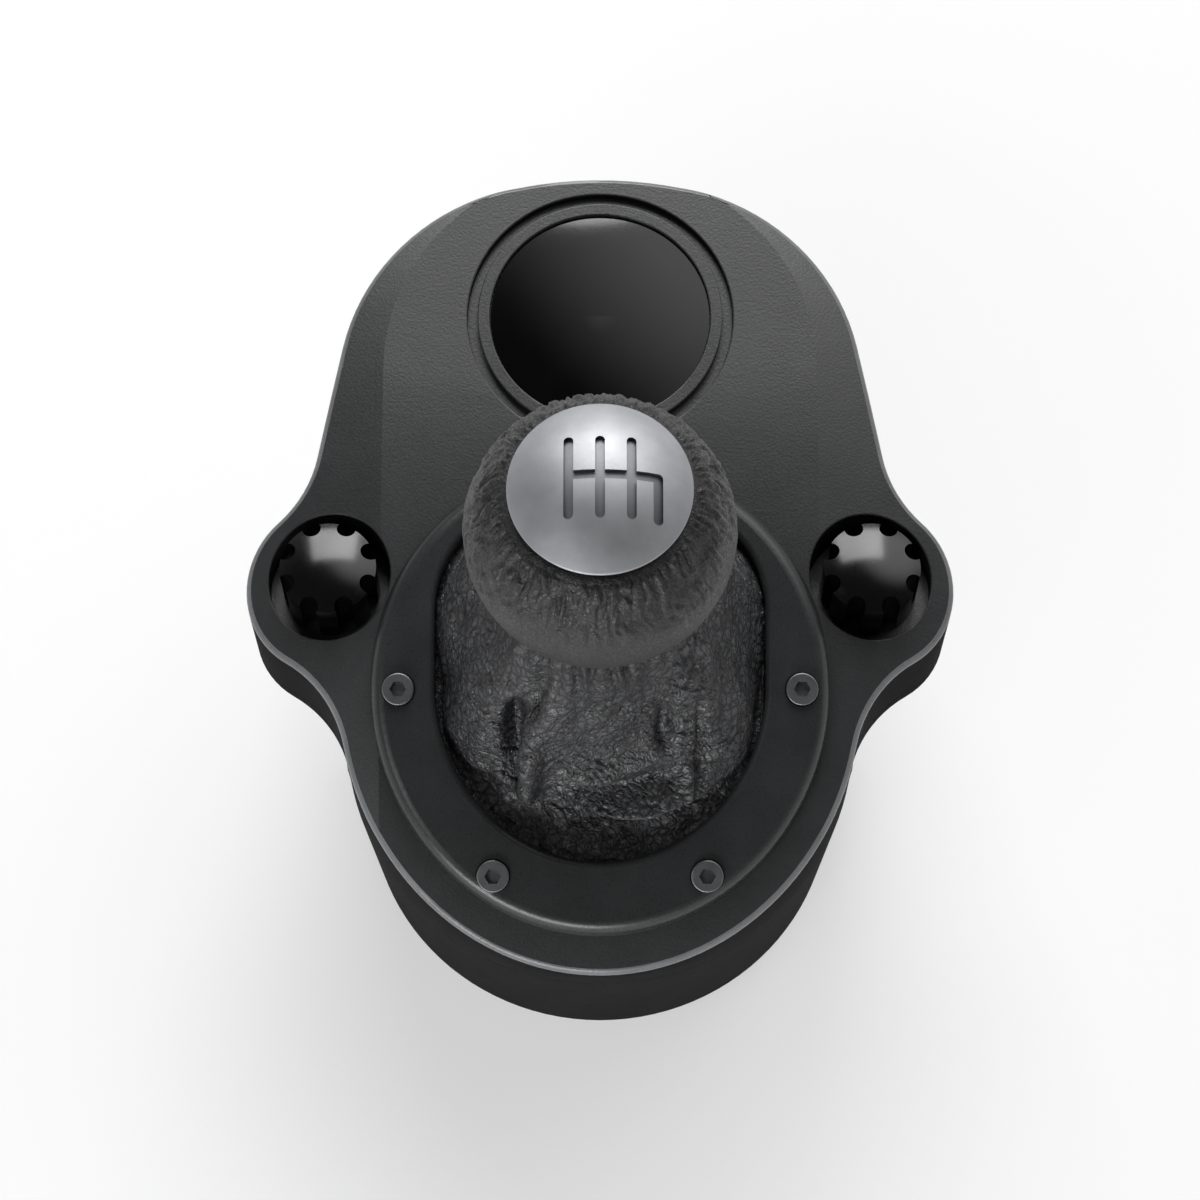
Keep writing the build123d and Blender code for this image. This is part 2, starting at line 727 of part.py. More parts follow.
def knob():
    centre = Pos(0, lever_y, knob_z)
    ball = Sphere(knob_radius)
    core_radius = knob_radius - knob_skin
    core_top = cap_seat - cap_seam
    far = 2 * knob_radius
    below = block((-far, far), (-far, far), (-far, core_top))
    above = block((-far, far), (-far, far), (cap_seat, far))
    neck_low = -knob_radius - neck_length
    insert_high = -knob_radius + knob_skin + insert_length

    core = Sphere(core_radius) & below
    core -= rod(cap_spigot_radius + slip_gap, cap_seat - cap_spigot_depth - slip_gap, far)
    core -= rod(insert_radius, -far, insert_high)
    core -= rod(rod_radius + running_gap, -far, knob_radius - rod_top_inset)
    leather_skin = (ball & below) - Sphere(core_radius)
    collar = rod(neck_radius, neck_low, -math.sqrt(core_radius ** 2 - neck_radius ** 2))
    leather_skin += collar - Sphere(core_radius)
    leather_skin -= rod(insert_radius, -far, 0)

    cap = ball & above
    cap = fillet(cap.edges().filter_by(GeomType.CIRCLE), cap_edge_round)
    cap += rod(cap_spigot_radius, cap_seat - cap_spigot_depth, cap_seat + overrun)
    floor = Sphere(knob_radius - groove_depth)
    marks = Sketch()
    for column in (-1, 0, 1):
        marks += Pos(column * groove_pitch, 0) * SlotOverall(groove_length, groove_width, rotation=90)
    half_groove = SlotOverall((groove_length + groove_width) / 2, groove_width, rotation=90)
    marks += Pos(reverse_column_x, -groove_length / 4) * half_groove
    bar = reverse_column_x + groove_pitch + groove_width
    marks += Pos((reverse_column_x - groove_pitch) / 2, 0) * SlotOverall(bar, groove_width)
    cap -= Pos(0, 0, cap_seat) * extrude(marks, far) - floor
    place("knob_core", centre * core)
    place("knob_leather", centre * leather_skin)
    place("knob_cap", centre * cap)

    insert = tube(insert_radius, rod_radius + running_gap, neck_low, insert_high)
    place("knob_insert", centre * insert)


def lever():
    """Rod through the knob and the block, with its collar, spring, clip and gate pin."""
    at = lever_line
    knob_lift = knob_z - pivot_z
    shaft = rod(rod_radius, -rod_bottom_drop, knob_lift + knob_radius - rod_top_inset - slip_gap)
    taper_top = -rod_bottom_drop
    taper = Pos(0, 0, taper_top - pin_taper / 2) * Cone(pin_radius, rod_radius, pin_taper)
    shaft += taper + rod(pin_radius, -pin_drop, taper_top - pin_taper)
    place("lever_rod", at * shaft)

    collar = tube(collar_radius, rod_radius + running_gap, collar_lift, collar_lift + collar_thickness)
    place("rod_collar", at * fillet(collar.edges().group_by(Axis.Z)[-1], head_edge_round))
    clip_top = -block_bottom - slip_gap
    clip = tube(clip_radius, rod_radius, clip_top - clip_thickness, clip_top)
    place("lever_clip", at * clip)
    spring = tube(spring_radius, spring_radius - spring_wire, block_top + slip_gap, collar_lift - slip_gap)
    place("reverse_spring", at * spring)
    boot_collar_low = boot_top_z - pivot_z - boot_collar_height + leather
    boot_collar_high = boot_collar_low + boot_collar_height
    boot_collar = tube(boot_collar_radius, rod_radius + running_gap, boot_collar_low, boot_collar_high)
    place("boot_collar", at * fillet(boot_collar.edges().group_by(Axis.Z)[-1], head_edge_round))


def lever_block():
    at = lever_line
    half = block_half
    body = block((-half, half), (-half, half), (-block_bottom, block_top))
    body = chamfer(body.edges().filter_by(Axis.Z), block_edge_cut)
    body += block((-half, half), (-half, block_tail), (block_top - tail_thickness, block_top))
    body -= rod(rod_radius + running_gap, -overrun - block_bottom, block_top + overrun)
    body -= along_y(rod(cross_pin_radius, -half - overrun, half + overrun))
    place("lever_block", at * body)

    outer_y = half + ring_gap_y + ring_wall_y
    pins = []
    for side in (-1, 1):
        pin = rod(cross_pin_radius, cross_pin_inner, outer_y)
        if side < 0:
            pin += rod(sensor_stub_radius, outer_y, outer_y + select_sensor_size[1] / 2)
        pins.append(at * Rot(-90 * side, 0, 0) * pin)
    place("cross_pins", *pins)

    sx, sy, sz = switch_size
    switch = Pos(0, block_tail - sy / 2, block_top + sz / 2) * Box(sx, sy, sz)
    button = rod(switch_button_radius, 0, sz + switch_button_height)
    switch += Pos(0, block_tail - sy / 2, block_top) * button
    place("reverse_switch", at * switch)


def gimbal():
    at = lever_line
    inner_y = block_half + ring_gap_y
    outer_x = ring_inner_x + ring_wall_x
    outer_y = inner_y + ring_wall_y
    body = block((-outer_x, outer_x), (-outer_y, outer_y), (-ring_down, ring_up))
    body = fillet(body.edges().filter_by(Axis.Z), ring_corner_round)
    through = (-ring_down - overrun, ring_up + overrun)
    body -= block((-ring_inner_x, ring_inner_x), (-inner_y, inner_y), through)
    body -= along_y(rod(cross_pin_radius + running_gap, -outer_y - overrun, outer_y + overrun))
    body -= along_x(rod(trunnion_radius, -outer_x - overrun, -ring_inner_x + overrun))
    body -= along_x(rod(trunnion_radius, ring_inner_x - overrun, outer_x + overrun))
    place("gimbal_ring", at * body)

    bush_inner = frame_side_x - bush_flange
    pins = []
    for side in (-1, 1):
        pin = rod(trunnion_radius, ring_inner_x + trunnion_set, frame_side_x + frame_sheet)
        pin += rod(shoulder_radius, outer_x, bush_inner - slip_gap)
        if side > 0:
            pin += rod(sensor_stub_radius, frame_side_x, frame_side_x + frame_sheet + sensor_size[0] / 2)
        pins.append(at * Rot(0, 90 * side, 0) * pin)
    place("trunnion_pins", *pins)

    springs = []
    length = ring_inner_x - block_half - 2 * slip_gap
    for side in (-1, 1):
        low = block_half + slip_gap
        coil = tube(centring_radius, centring_radius - centring_wire, low, low + length)
        springs.append(at * Pos(0, 0, -centring_drop) * Rot(0, 90 * side, 0) * coil)
    place("centring_springs", *springs)

    sx, sy, sz = select_sensor_size
    sensor = Pos(0, -outer_y - sy / 2, 0) * Box(sx, sy, sz)
    sensor = fillet(sensor.edges().filter_by(Axis.Y), sensor_edge_round)
    stub_end = -outer_y - sy / 2 - slip_gap
    sensor -= along_y(rod(sensor_stub_radius + running_gap, stub_end, -outer_y + overrun))
    place("select_sensor", at * sensor)


def mechanism_frame():
    base = frame_base_z - pivot_z
    sheet = frame_sheet
    body = block((-frame_base_x, frame_base_x), (-frame_base_half, frame_base_half), (base, base + sheet))
    body = fillet(body.edges().filter_by(Axis.Z), frame_sheet)
    window = frame_window
    body -= block((-window, window), (-window, window), (base - overrun, base + sheet + overrun))
    for side in (-1, 1):
        low, high = sorted((side * frame_side_x, side * (frame_side_x + sheet)))
        wall = block((low, high), (-frame_side_half, frame_side_half), (base, frame_side_top))
        body += fillet(wall.edges().filter_by(Axis.X).group_by(Axis.Z)[-1], frame_side_round)
        body -= along_x(rod(bush_radius, low - overrun, high + overrun))
    for x, y in corner_spots(frame_screw_x, frame_screw_y):
        body -= Pos(x, y) * rod(m3_radius + slip_gap, base - overrun, base + sheet + overrun)
    for x, y in corner_spots(gate_screw_x, gate_screw_y):
        body -= Pos(x, y) * rod(m3_radius + running_gap, base - overrun, base + sheet + overrun)
    at = lever_line
    place("mechanism_frame", at * body)

    bushes = []
    for side in (-1, 1):
        bush = rod(bush_radius, frame_side_x, frame_side_x + sheet)
        bush += rod(bush_flange_radius, frame_side_x - bush_flange, frame_side_x)
        bush -= rod(trunnion_radius + running_gap, 0, frame_base_x)
        bushes.append(at * Rot(0, 90 * side, 0) * bush)
    place("trunnion_bushes", *bushes)

    thin, wide, tall = sensor_size
    sensor = Pos(frame_side_x + sheet + thin / 2, 0, 0) * Box(thin, wide, tall)
    sensor = fillet(sensor.edges().filter_by(Axis.X), sensor_edge_round)
    stub_end = frame_side_x + sheet + thin / 2 + slip_gap
    sensor -= along_x(rod(sensor_stub_radius + running_gap, frame_side_x, stub_end))
    place("fore_aft_sensor", at * sensor)

    gate_low = base + sheet
    gate_middle = -(gate_low + gate_thickness / 2)
    column = gate_middle * math.tan(math.radians(lever_select))
    reach = gate_middle * math.tan(math.radians(lever_swing)) + gate_slot / 2 + gate_end_play
    gate_high = gate_low + gate_thickness
    plate = block((-gate_half_x, gate_half_x), (-gate_half_y, gate_half_y), (gate_low, gate_high))
    plate = fillet(plate.edges().filter_by(Axis.Z), frame_sheet)
    slots = Pos(0, 0) * Rectangle(2 * column, gate_slot)
    for step in (-1, 0, 1):
        slots += Pos(step * (column + running_gap), 0) * SlotOverall(2 * reach, gate_slot, rotation=90)
    plate -= Pos(0, 0, gate_low - overrun) * extrude(slots, gate_thickness + 2 * overrun)
    for x, y in corner_spots(gate_screw_x, gate_screw_y):
        plate -= Pos(x, y) * rod(m3_radius + slip_gap, gate_low - overrun, gate_high + overrun)
    place("gate_plate", at * plate)

    short = small_screw(gate_thickness + sheet)
    place("gate_screws", *[at * Pos(x, y, gate_high) * short
                           for x, y in corner_spots(gate_screw_x, gate_screw_y)])
    long = small_screw()
    place("frame_screws", *[at * Pos(x, y, base + sheet) * long
                            for x, y in corner_spots(frame_screw_x, frame_screw_y)])


def electronics():
    board_z = foot_height + belly_floor + board_lift
    top = board_z + board_thickness
    board = Pos(0, board_y, board_z + board_thickness / 2) * Box(board_x, board_depth, board_thickness)
    board = fillet(board.edges().filter_by(Axis.Z), board_corner_round)
    for x, y in board_screw_spots():
        board -= Pos(x, y) * rod(board_screw_radius + slip_gap, board_z - overrun, top + overrun)
    place("circuit_board", board)
    screw = rod(board_screw_radius, -board_screw_length, 0) + rod(m3_radius, 0, m3_radius)
    place("board_screws", *[Pos(x, y, top) * screw for x, y in board_screw_spots()])
    cx, cy, cz = connector_size
    connectors = []
    for step in (-1, 0, 1):
        shell = block((-cx / 2, cx / 2), (-cy / 2, cy / 2), (top, top + cz))
        inner_x, inner_y = cx / 2 - connector_wall, cy / 2 - connector_wall
        shell -= block((-inner_x, inner_x), (-inner_y, inner_y), (top + cz / 2, top + cz + overrun))
        connectors.append(Pos(step * connector_pitch, board_y + connector_back) * shell)
    place("board_connectors", *connectors)
    chip_spot = Pos(0, board_y - chip_forward, top + chip_height / 2)
    chip = chip_spot * Box(chip_size, chip_size / 2, chip_height)
    place("controller_chip", chip)

    inside = desk_stop_y - belly_wall
    ring = tube(inlet_flange_radius, inlet_bore, desk_stop_y, desk_stop_y + inlet_flange)
    ring += tube(inlet_flange_radius, inlet_bore, inside - inlet_flange, inside)
    ring += tube(inlet_radius, inlet_bore, inside, desk_stop_y)
    place("cable_grommet", Pos(0, 0, inlet_z) * along_y(ring))


def underside():
    pads = []
    for side in (-1, 1):
        spot = Pos(side * pad_x, pad_y, seat_z + pad_thickness / 2)
        pad = spot * Box(pad_width, pad_length, pad_thickness)
        pads.append(fillet(pad.edges().filter_by(Axis.Z), pad_corner_round))
    place("desk_pads", *pads)
    feet = []
    for side in (-1, 1):
        for y in (foot_front_y, foot_rear_y):
            foot = rod(foot_radius, 0, foot_height + foot_recess)
            foot = fillet(foot.edges().group_by(Axis.Z)[0], head_edge_round)
            feet.append(Pos(side * foot_x, y) * foot)
    place("rubber_feet", *feet)
    plate_z = rear_seam_z - plate_thickness
    insert = tube(rig_insert_radius, rig_bore_radius, plate_z, plate_z + rig_insert_length)
    ends = (rig_y - rig_spacing / 2, rig_y + rig_spacing / 2)
    place("rig_inserts", *[Pos(0, y) * insert for y in ends])
    screw = Rot(180, 0, 0) * small_screw(cover_screw_depth - cover_screw_room)
    place("housing_screws", *[Pos(x, y, head_z) * screw for x, y, head_z in cover_screw_spots()])


def clamps():
    """Two thumb screws that drive the jaws up against the underside of the desk."""
    ear_plate_z = ear_seam_z - plate_thickness
    clip_top = ear_plate_z - bush_flange - slip_gap
    bushes = []
    for side, word in ((-1, "left"), (1, "right")):
        at = Pos(side * ear_x, clamp_y)
        bush = rod(clamp_bush_radius, ear_plate_z - bush_flange, ear_seam_z)
        bush += rod(clamp_bush_radius + bush_flange, ear_plate_z - bush_flange, ear_plate_z)
        bush -= rod(clamp_screw_radius + running_gap, 0, crown_z)
        bushes.append(at * bush)

        knob_low = well_floor_z + slip_gap
        shape = rod(clamp_knob_radius, knob_low, clamp_knob_rim_z)
        shape += Pos(0, 0, clamp_knob_rim_z) * knob_dome()
        for step in range(scallops):
            turn = 360 / scallops * (step + 0.5)
            shape -= Rot(0, 0, turn) * Pos(scallop_circle, 0) * rod(scallop_radius, 0, crown_z + band_reach)
        shape -= rod(clamp_screw_radius, 0, clamp_knob_rim_z - clamp_screw_radius)
        place(word + "_clamp_knob", at * shape)
        shaft = rod(clamp_screw_radius, clamp_screw_low_z, clamp_knob_rim_z - clamp_screw_radius)
        place(word + "_clamp_screw", at * chamfer(shaft.edges().group_by(Axis.Z)[0], clamp_screw_cut))
        clip = tube(clamp_clip_radius, clamp_screw_radius, clip_top - clip_thickness, clip_top)
        place(word + "_clamp_clip", at * clip)

        top = seat_z - jaw_throat - jaw_pad
        low = top - jaw_height
        arm = block((jaw_inner_x, jaw_outer_x), (clamp_y, jaw_rear_y), (low, top))
        arm = fillet(arm.edges().filter_by(Axis.Z).group_by(Axis.Y)[-1], jaw_corner_round)
        arm += Pos(ear_x, clamp_y) * rod(jaw_boss_radius, low, top)
        slot_half = rail_half + soft_gap
        arm -= block((0, rail_x + soft_gap), (clamp_y - slot_half, clamp_y + slot_half),
                     (low - overrun, top + overrun))
        arm -= Pos(ear_x, clamp_y) * rod(nut_radius, low, top + overrun)
        floor = tube(nut_radius + nut_ledge, clamp_screw_radius + soft_gap, low, low + nut_margin)
        arm += Pos(ear_x, clamp_y) * floor
        pad = block((jaw_inner_x + jaw_pad_margin, jaw_outer_x - jaw_pad_margin),
                    (jaw_pad_front_y, jaw_rear_y - jaw_pad_margin), (top, top + jaw_pad))
        pad = fillet(pad.edges().filter_by(Axis.Z), jaw_pad_round)
        if side < 0:
            arm, pad = mirror(arm, Plane.YZ), mirror(pad, Plane.YZ)
        place(word + "_jaw", arm)
        place(word + "_jaw_pad", pad)
        nut = tube(nut_radius, clamp_screw_radius + running_gap, low + nut_margin, top)
        place(word + "_jaw_nut", at * nut)
    place("clamp_bushes", *bushes)


def knob_dome():
    """Shallow dome on the round knob of a clamp."""
    radius = (clamp_knob_radius ** 2 + clamp_knob_dome ** 2) / (2 * clamp_knob_dome)
    ball = Pos(0, 0, clamp_knob_dome - radius) * Sphere(radius)
    return ball & rod(clamp_knob_radius, 0, clamp_knob_radius)


place("top_cover", top_cover())
place("lower_housing", lower_housing())
badge()
boot_ring()
leather_boot()
knob()
lever()
lever_block()
gimbal()
mechanism_frame()
electronics()
underside()
clamps()

os.makedirs("parts", exist_ok=True)
for name, solid in nodes.items():
    export_step(solid, "parts/" + name + ".step")
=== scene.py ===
import json
import math

import bmesh
import bpy
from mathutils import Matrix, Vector, noise
from mathutils.bvhtree import BVHTree


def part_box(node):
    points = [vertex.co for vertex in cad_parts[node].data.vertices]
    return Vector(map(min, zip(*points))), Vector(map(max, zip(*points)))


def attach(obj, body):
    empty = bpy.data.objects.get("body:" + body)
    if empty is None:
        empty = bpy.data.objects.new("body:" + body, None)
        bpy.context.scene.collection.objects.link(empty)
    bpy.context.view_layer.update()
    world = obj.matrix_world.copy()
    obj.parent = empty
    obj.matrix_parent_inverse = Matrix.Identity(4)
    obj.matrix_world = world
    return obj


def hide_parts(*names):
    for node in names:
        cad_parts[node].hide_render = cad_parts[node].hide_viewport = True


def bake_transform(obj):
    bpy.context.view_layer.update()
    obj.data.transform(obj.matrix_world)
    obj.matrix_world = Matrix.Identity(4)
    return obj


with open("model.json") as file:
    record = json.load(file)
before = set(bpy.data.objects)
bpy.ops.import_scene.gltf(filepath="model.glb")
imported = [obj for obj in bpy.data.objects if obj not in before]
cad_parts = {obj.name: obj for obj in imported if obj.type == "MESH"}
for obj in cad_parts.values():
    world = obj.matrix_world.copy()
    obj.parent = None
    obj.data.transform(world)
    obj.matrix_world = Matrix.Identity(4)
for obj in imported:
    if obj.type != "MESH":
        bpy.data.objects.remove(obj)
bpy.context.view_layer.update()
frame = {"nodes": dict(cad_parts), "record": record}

MM = 0.001

# Places read from the frame, in metres
rod_low, rod_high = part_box("lever_rod")
knob_low, knob_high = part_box("knob_leather")
badge_low, badge_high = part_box("badge_disc")
clamp_low, clamp_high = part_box("left_clamp_knob")
lever_y = (rod_low.y + rod_high.y) / 2
badge_y = (badge_low.y + badge_high.y) / 2
knob_radius = (knob_high.x - knob_low.x) / 2
clamp_x = -(clamp_low.x + clamp_high.x) / 2
clamp_y = (clamp_low.y + clamp_high.y) / 2

# The deck's upward direction, and the height of its plane at the lever in mm
deck_normal = Vector((0, -0.297, 0.955))
gaiter_foot = 102.5

# Top cover. Sizes in mm: the rounding of the deck's rim and of the edges of its recesses, how far
# these edges lie from the middles of a clamp knob and of the badge, the lowest place of a well's
# upper edge, and how far round the lever the trim ring reaches
rim_rounding = 1.1
recess_rounding = 0.35
well_edge = (12.0, 14.5)
badge_edge = (26.0, 30.0)
well_edge_z = 99.0
ring_reach = 50.0
# Turns in degrees past which an edge is rounded, is shaded crisp, and is shaded crisp on the deck
rounded_turn = 40
crisp_turn = 32
deck_turn = 5
# Upward part of a face's direction: at least so much for a face that lies flat and for the deck, and
# at most so much for one that stands up beside a flat one and for a side wall
flat_face = 0.85
deck_face = 0.8
upright_face = 0.45
side_wall = 0.35

# Gaiter. Its profile in directions round the lever, in degrees from the driver's side and positive to
# the right. Each is a row of points from the collar down to the trim ring, as radius and height in mm:
# two folds lie over each other in front, and the sides and the rear run straight down.
gaiter_profiles = {
    -95: [(11.6, 151), (14.0, 142), (20.5, 130), (26.5, 119), (30.6, 110.5), (32.2, 107), (33.0, 105.2),
          (33.6, 104), (34.0, 103), (34.2, 102.3)],
    -75: [(11.6, 151), (14.2, 142), (20.4, 130), (26.6, 118), (31.0, 108), (32.4, 103.6), (32.7, 101.6),
          (33.2, 100.2), (33.7, 99.0), (34.1, 98.2)],
    -61: [(11.6, 151), (13.5, 142), (18.6, 130), (24.6, 118.5), (29.6, 107), (32.0, 99.6), (31.2, 98.0),
          (31.8, 97.0), (32.7, 96.3), (33.6, 95.8)],
    -52: [(11.6, 151), (12.8, 142), (15.4, 130), (19.0, 118.5), (24.4, 109), (30.0, 100.6), (28.8, 98.2),
          (29.4, 96.8), (30.8, 95.6), (32.6, 94.4)],
    -45: [(11.6, 151), (12.8, 142), (15.2, 130), (18.4, 118.5), (22.8, 109.5), (28.8, 102.4), (27.8, 99.2),
          (28.4, 97.2), (30.0, 95.4), (32.0, 93.8)],
    -37: [(11.6, 151), (13.6, 142), (17.8, 130), (22.2, 119), (26.8, 110), (29.6, 103.4), (26.6, 99.6),
          (26.8, 97.2), (28.6, 95.0), (31.8, 93.0)],
    -26: [(11.6, 151), (13.4, 142), (17.4, 130), (20.8, 119.5), (23.4, 110.5), (25.6, 105.2), (21.4, 101.2),
          (23.0, 97.8), (24.0, 95.2), (28.5, 92.6)],
    -14: [(11.6, 151), (12.8, 142), (15.6, 130), (18.4, 119), (21.2, 112), (24.4, 107.2), (20.2, 102.0),
          (23.8, 98.8), (23.4, 95.2), (28.5, 91.8)],
    0: [(11.6, 151), (12.5, 142), (14.6, 130), (16.8, 119), (19.8, 112.5), (23.6, 108.2), (20.2, 103.0),
        (27.6, 101.2), (22.0, 95.0), (29.0, 91.2)],
    15: [(11.6, 151), (12.5, 142), (14.4, 130), (16.6, 119), (19.6, 113), (23.0, 109.0), (20.6, 104.4),
         (30.4, 102.4), (23.4, 94.8), (29.6, 91.4)],
    30: [(11.6, 151), (12.5, 142), (14.4, 131), (16.4, 121), (19.2, 114.5), (22.4, 110), (21.8, 105.6),
         (31.4, 102.8), (25.0, 95.4), (30.2, 92.8)],
    45: [(11.6, 151), (12.7, 142), (15.0, 131), (17.8, 121), (21.6, 114), (25.2, 109), (28.2, 105.6),
         (32.4, 102.6), (27.2, 96.6), (31.4, 95.0)],
    60: [(11.6, 151), (13.4, 142), (17.4, 131), (22.2, 121), (26.8, 113.6), (29.8, 108.6), (31.8, 105.2),
         (33.6, 101.8), (32.2, 99.0), (33.0, 97.0)],
    75: [(11.6, 151), (14.2, 142), (20.2, 130.5), (25.8, 120.5), (29.8, 112.5), (31.8, 107.5),
         (32.7, 104.6), (33.5, 102), (33.7, 100.4), (34.0, 99.0)],
    95: [(11.6, 151), (14.0, 142), (20.8, 130), (26.9, 119), (30.8, 110.5), (32.2, 107), (33.0, 105.2),
         (33.6, 104), (34.0, 103), (34.2, 102.3)],
    120: [(11.6, 151), (15.0, 143), (21.8, 133.5), (28.4, 125.5), (33.2, 119.5), (35.8, 115.8),
          (37.2, 113.6), (38.2, 111.8), (38.8, 110.4), (39.1, 109.3)],
    150: [(11.6, 151), (15.5, 143.5), (22.3, 135), (29.3, 127.5), (35.0, 121.8), (37.8, 118.2),
          (39.2, 116), (40.0, 114.4), (40.5, 113.2), (40.8, 112.2)],
    180: [(11.6, 151), (15.0, 144), (21.2, 136), (27.2, 129), (32.0, 123), (34.4, 119.2), (35.6, 116.8),
          (36.3, 115.0), (36.7, 113.8), (36.9, 112.8)],
    210: [(11.6, 151), (15.5, 143.5), (22.7, 135), (29.7, 127.5), (35.2, 121.8), (37.8, 118.2),
          (39.2, 116), (40.0, 114.4), (40.5, 113.2), (40.8, 112.2)],
    240: [(11.6, 151), (15.0, 143), (21.2, 133.5), (27.8, 125.5), (33.0, 119.5), (35.8, 115.8),
          (37.2, 113.6), (38.2, 111.8), (38.8, 110.4), (39.1, 109.3)],
}
# How far each point's corner is rounded, in mm: small at the lips and tucks of the folds
gaiter_rounding = [0, 7, 7, 7, 4, 1.5, 1.8, 1.6, 2.6, 3.0, 0]
# The ring's opening, in mm from the lever: half its width, how far back it reaches, its rear corners
opening_half = 34.5
opening_rear = 37.0
opening_corner = 22.0
# How far outside the opening the ring's face is measured, and from what height, in mm
face_probe = (2, 200)
# How far below that face the leather ends, how far over its end the profile stops, and how far inside
# the opening both stay, in mm
tuck_depth = 3.9
tuck_rise = 0.6
profile_gap, tuck_gap = 0.4, 0.1
# Points round each rounded corner of a profile
corner_steps = 10
# Points round the gaiter, and down its top, middle and foot
gaiter_columns = 360
gaiter_rows = (30, 32, 100)
# Heights over the ring in mm where the three lengths meet, where the bending starts and ends, and
# how far short of a meeting it stops
gaiter_cuts = (18.0, 31.0)
gaiter_bend = (-3.5, 42.5)
cut_margin = 0.6
# Relief of the leather, in mm. A pair called top, foot, rise or front gives where a form starts to
# show and where it is full. Waves and creases have two sizes each.
gather_count = 23
gather_depth = 0.8
gather_rise = (126, 150)
wave_size, wave_depth = (10, 4.6), (1.1, 0.5)
crease_size, crease_depth, crease_width = (4.4, 2.2), (0.55, 0.16), (0.13, 0.2)
# Creases lie mostly round the lever and wander. The deeper ones are in soft patches of a size.
crease_stretch, wander_size, wander_reach = (0.8, 0.8, 1.4), 4, 2.4
bent_size, bent_values = 12, (0.34, 0.62)
# Folds of the front: the line that the left one follows, and height or depth, place across and width
# of its ridge, of its dip and of the right one
fold_top, fold_foot, fold_front = (128, 120), (100, 103), (-32, -37)
left_fold_spot, left_fold_slant = (-14.2, -36.4), 3.3 / 15.8
left_ridge, left_dip = (2.6, 2.4, 2.0), (3.4, -1.8, 1.9)
right_dip, right_front = (2.4, 13.0, 1.6), (-47, -44)
# Sewn seam: its distance to the right of the lever, its ends, the height of its raised edge, of the
# step beside it and of the pleats that its thread pulls, and their spacing
seam_x = 19.7
seam_top, seam_foot = (136, 128), (101.5, 104.5)
seam_edge, seam_step, seam_pleat = 1.0, 1.3, 0.5
pleat_spacing = 2.9
# Distances to the right of the seam where the edge rises and drops, the step ends, and the pleats
# start and end; and how far the seam wanders over what height
edge_rise, edge_drop, step_end = (-6.5, -0.6), (-0.5, 0.1), (0.2, 3.4)
pleat_start, pleat_end = (-4.5, -0.8), (-0.6, 0.0)
seam_wander = (0.3, 6)

# Knob leather, in mm: the ball's middle, and the radius and height of the rings of points that tuck it
# in under the cap and round the neck, from the top of the leather and from its bottom
knob_centre = 186.0
cap_tuck = ((14.7, -1.6), (14.9, -0.8), (16.6, -0.5))
neck_tuck = ((9.0, 4.0), (9.0, 0.5), (8.5, 0.0))
# How far below the ball's surface the leather starts beside the cap
cap_tuck_depth = 0.9
# Points round the knob and down its ball
knob_columns = 420
knob_rows = 168
# Degrees from the top: where the gathers run out, and where the ball runs into its neck
gathered_slopes = (58, 96)
neck_slope = 158.5
# Size and depth in mm of the long pleats, of the fine grain and of the soft swelling
long_pleat, fine_grain, swelling = (2.2, 0.62), (1.25, 0.20), (3.0, 0.22)

# Camera, in metres: its place and what it looks at, with the lens in mm on a 36 mm frame
camera_spot = Vector((0.0, -0.2646, 0.7293))
camera_target = Vector((0.0, -0.0103, 0.1062))
camera_lens = 95.97

# Soft boxes, all turned to one spot: place, width and height in metres, and level
lamp_target = Vector((0.0, 0.0, 0.12))
soft_boxes = {
    "back_box": ((-0.06, 0.92, 1.03), 0.84, 0.78, 6.8),
    "front_box": ((-0.22, -0.72, 0.17), 0.52, 0.24, 8.2),
    "left_box": ((-0.50, -0.54, 0.82), 0.42, 0.36, 2.3),
    "right_box": ((0.90, 0.05, 0.42), 0.50, 0.26, 0.4),
}
# Sky: the levels of its lower and upper part, and between which upward parts of a direction it fades
sky_levels, sky_fade = (0.34, 0.05), (0.35, 0.85)
# Soft glow at the rear right: its direction and level, and the angles in degrees from its middle
# where it starts to show and is full
glow_way = Vector((0.36, 0.56, 0.75)).normalized()
glow_level = 2.1
glow_start, glow_full = 34, 8
# Pale backdrop at the horizon: its level, and where it fades into the sky
backdrop_level, backdrop_fade = 0.93, (0.16, 0.30)
# Floor: its half-width in metres, and its colour
floor_reach = 12.0
floor_code = "f9f9f9"

# The parts of a noise pattern's values that colour patches and fine grain are spread over
patch_values = (0.35, 0.65)
grain_values = (0.3, 0.7)
# Sizes in mm of colour patches, and size and depth of a metal's tool marks
plastic_patch, metal_patch, leather_patch = 9.0, 6.0, 7.0
tool_marks = (0.3, 0.01)


def linear(code):
    """Linear colour from an sRGB hex value such as "2b2c2d"."""
    parts = [int(code[i:i + 2], 16) / 255 for i in (0, 2, 4)]
    bent = [c / 12.92 if c <= 0.04045 else ((c + 0.055) / 1.055) ** 2.4 for c in parts]
    return (*bent, 1.0)


def add(tree, kind, inputs=None, **settings):
    """Node of one kind with its settings; an input is a value or another node's output."""
    node = tree.nodes.new("ShaderNode" + kind)
    for name, value in settings.items():
        setattr(node, name, value)
    for name, value in (inputs or {}).items():
        if isinstance(value, bpy.types.NodeSocket):
            tree.links.new(value, node.inputs[name])
        else:
            node.inputs[name].default_value = value
    return node


def smooth(low, high, value):
    """Smooth step from 0 at low to 1 at high."""
    share = min(1.0, max(0.0, (value - low) / (high - low)))
    return share * share * (3 - 2 * share)


def bell(value, height, middle, width):
    """Rise of a height at the middle, falling away to both sides."""
    return height * math.exp(-((value - middle) / width) ** 2)


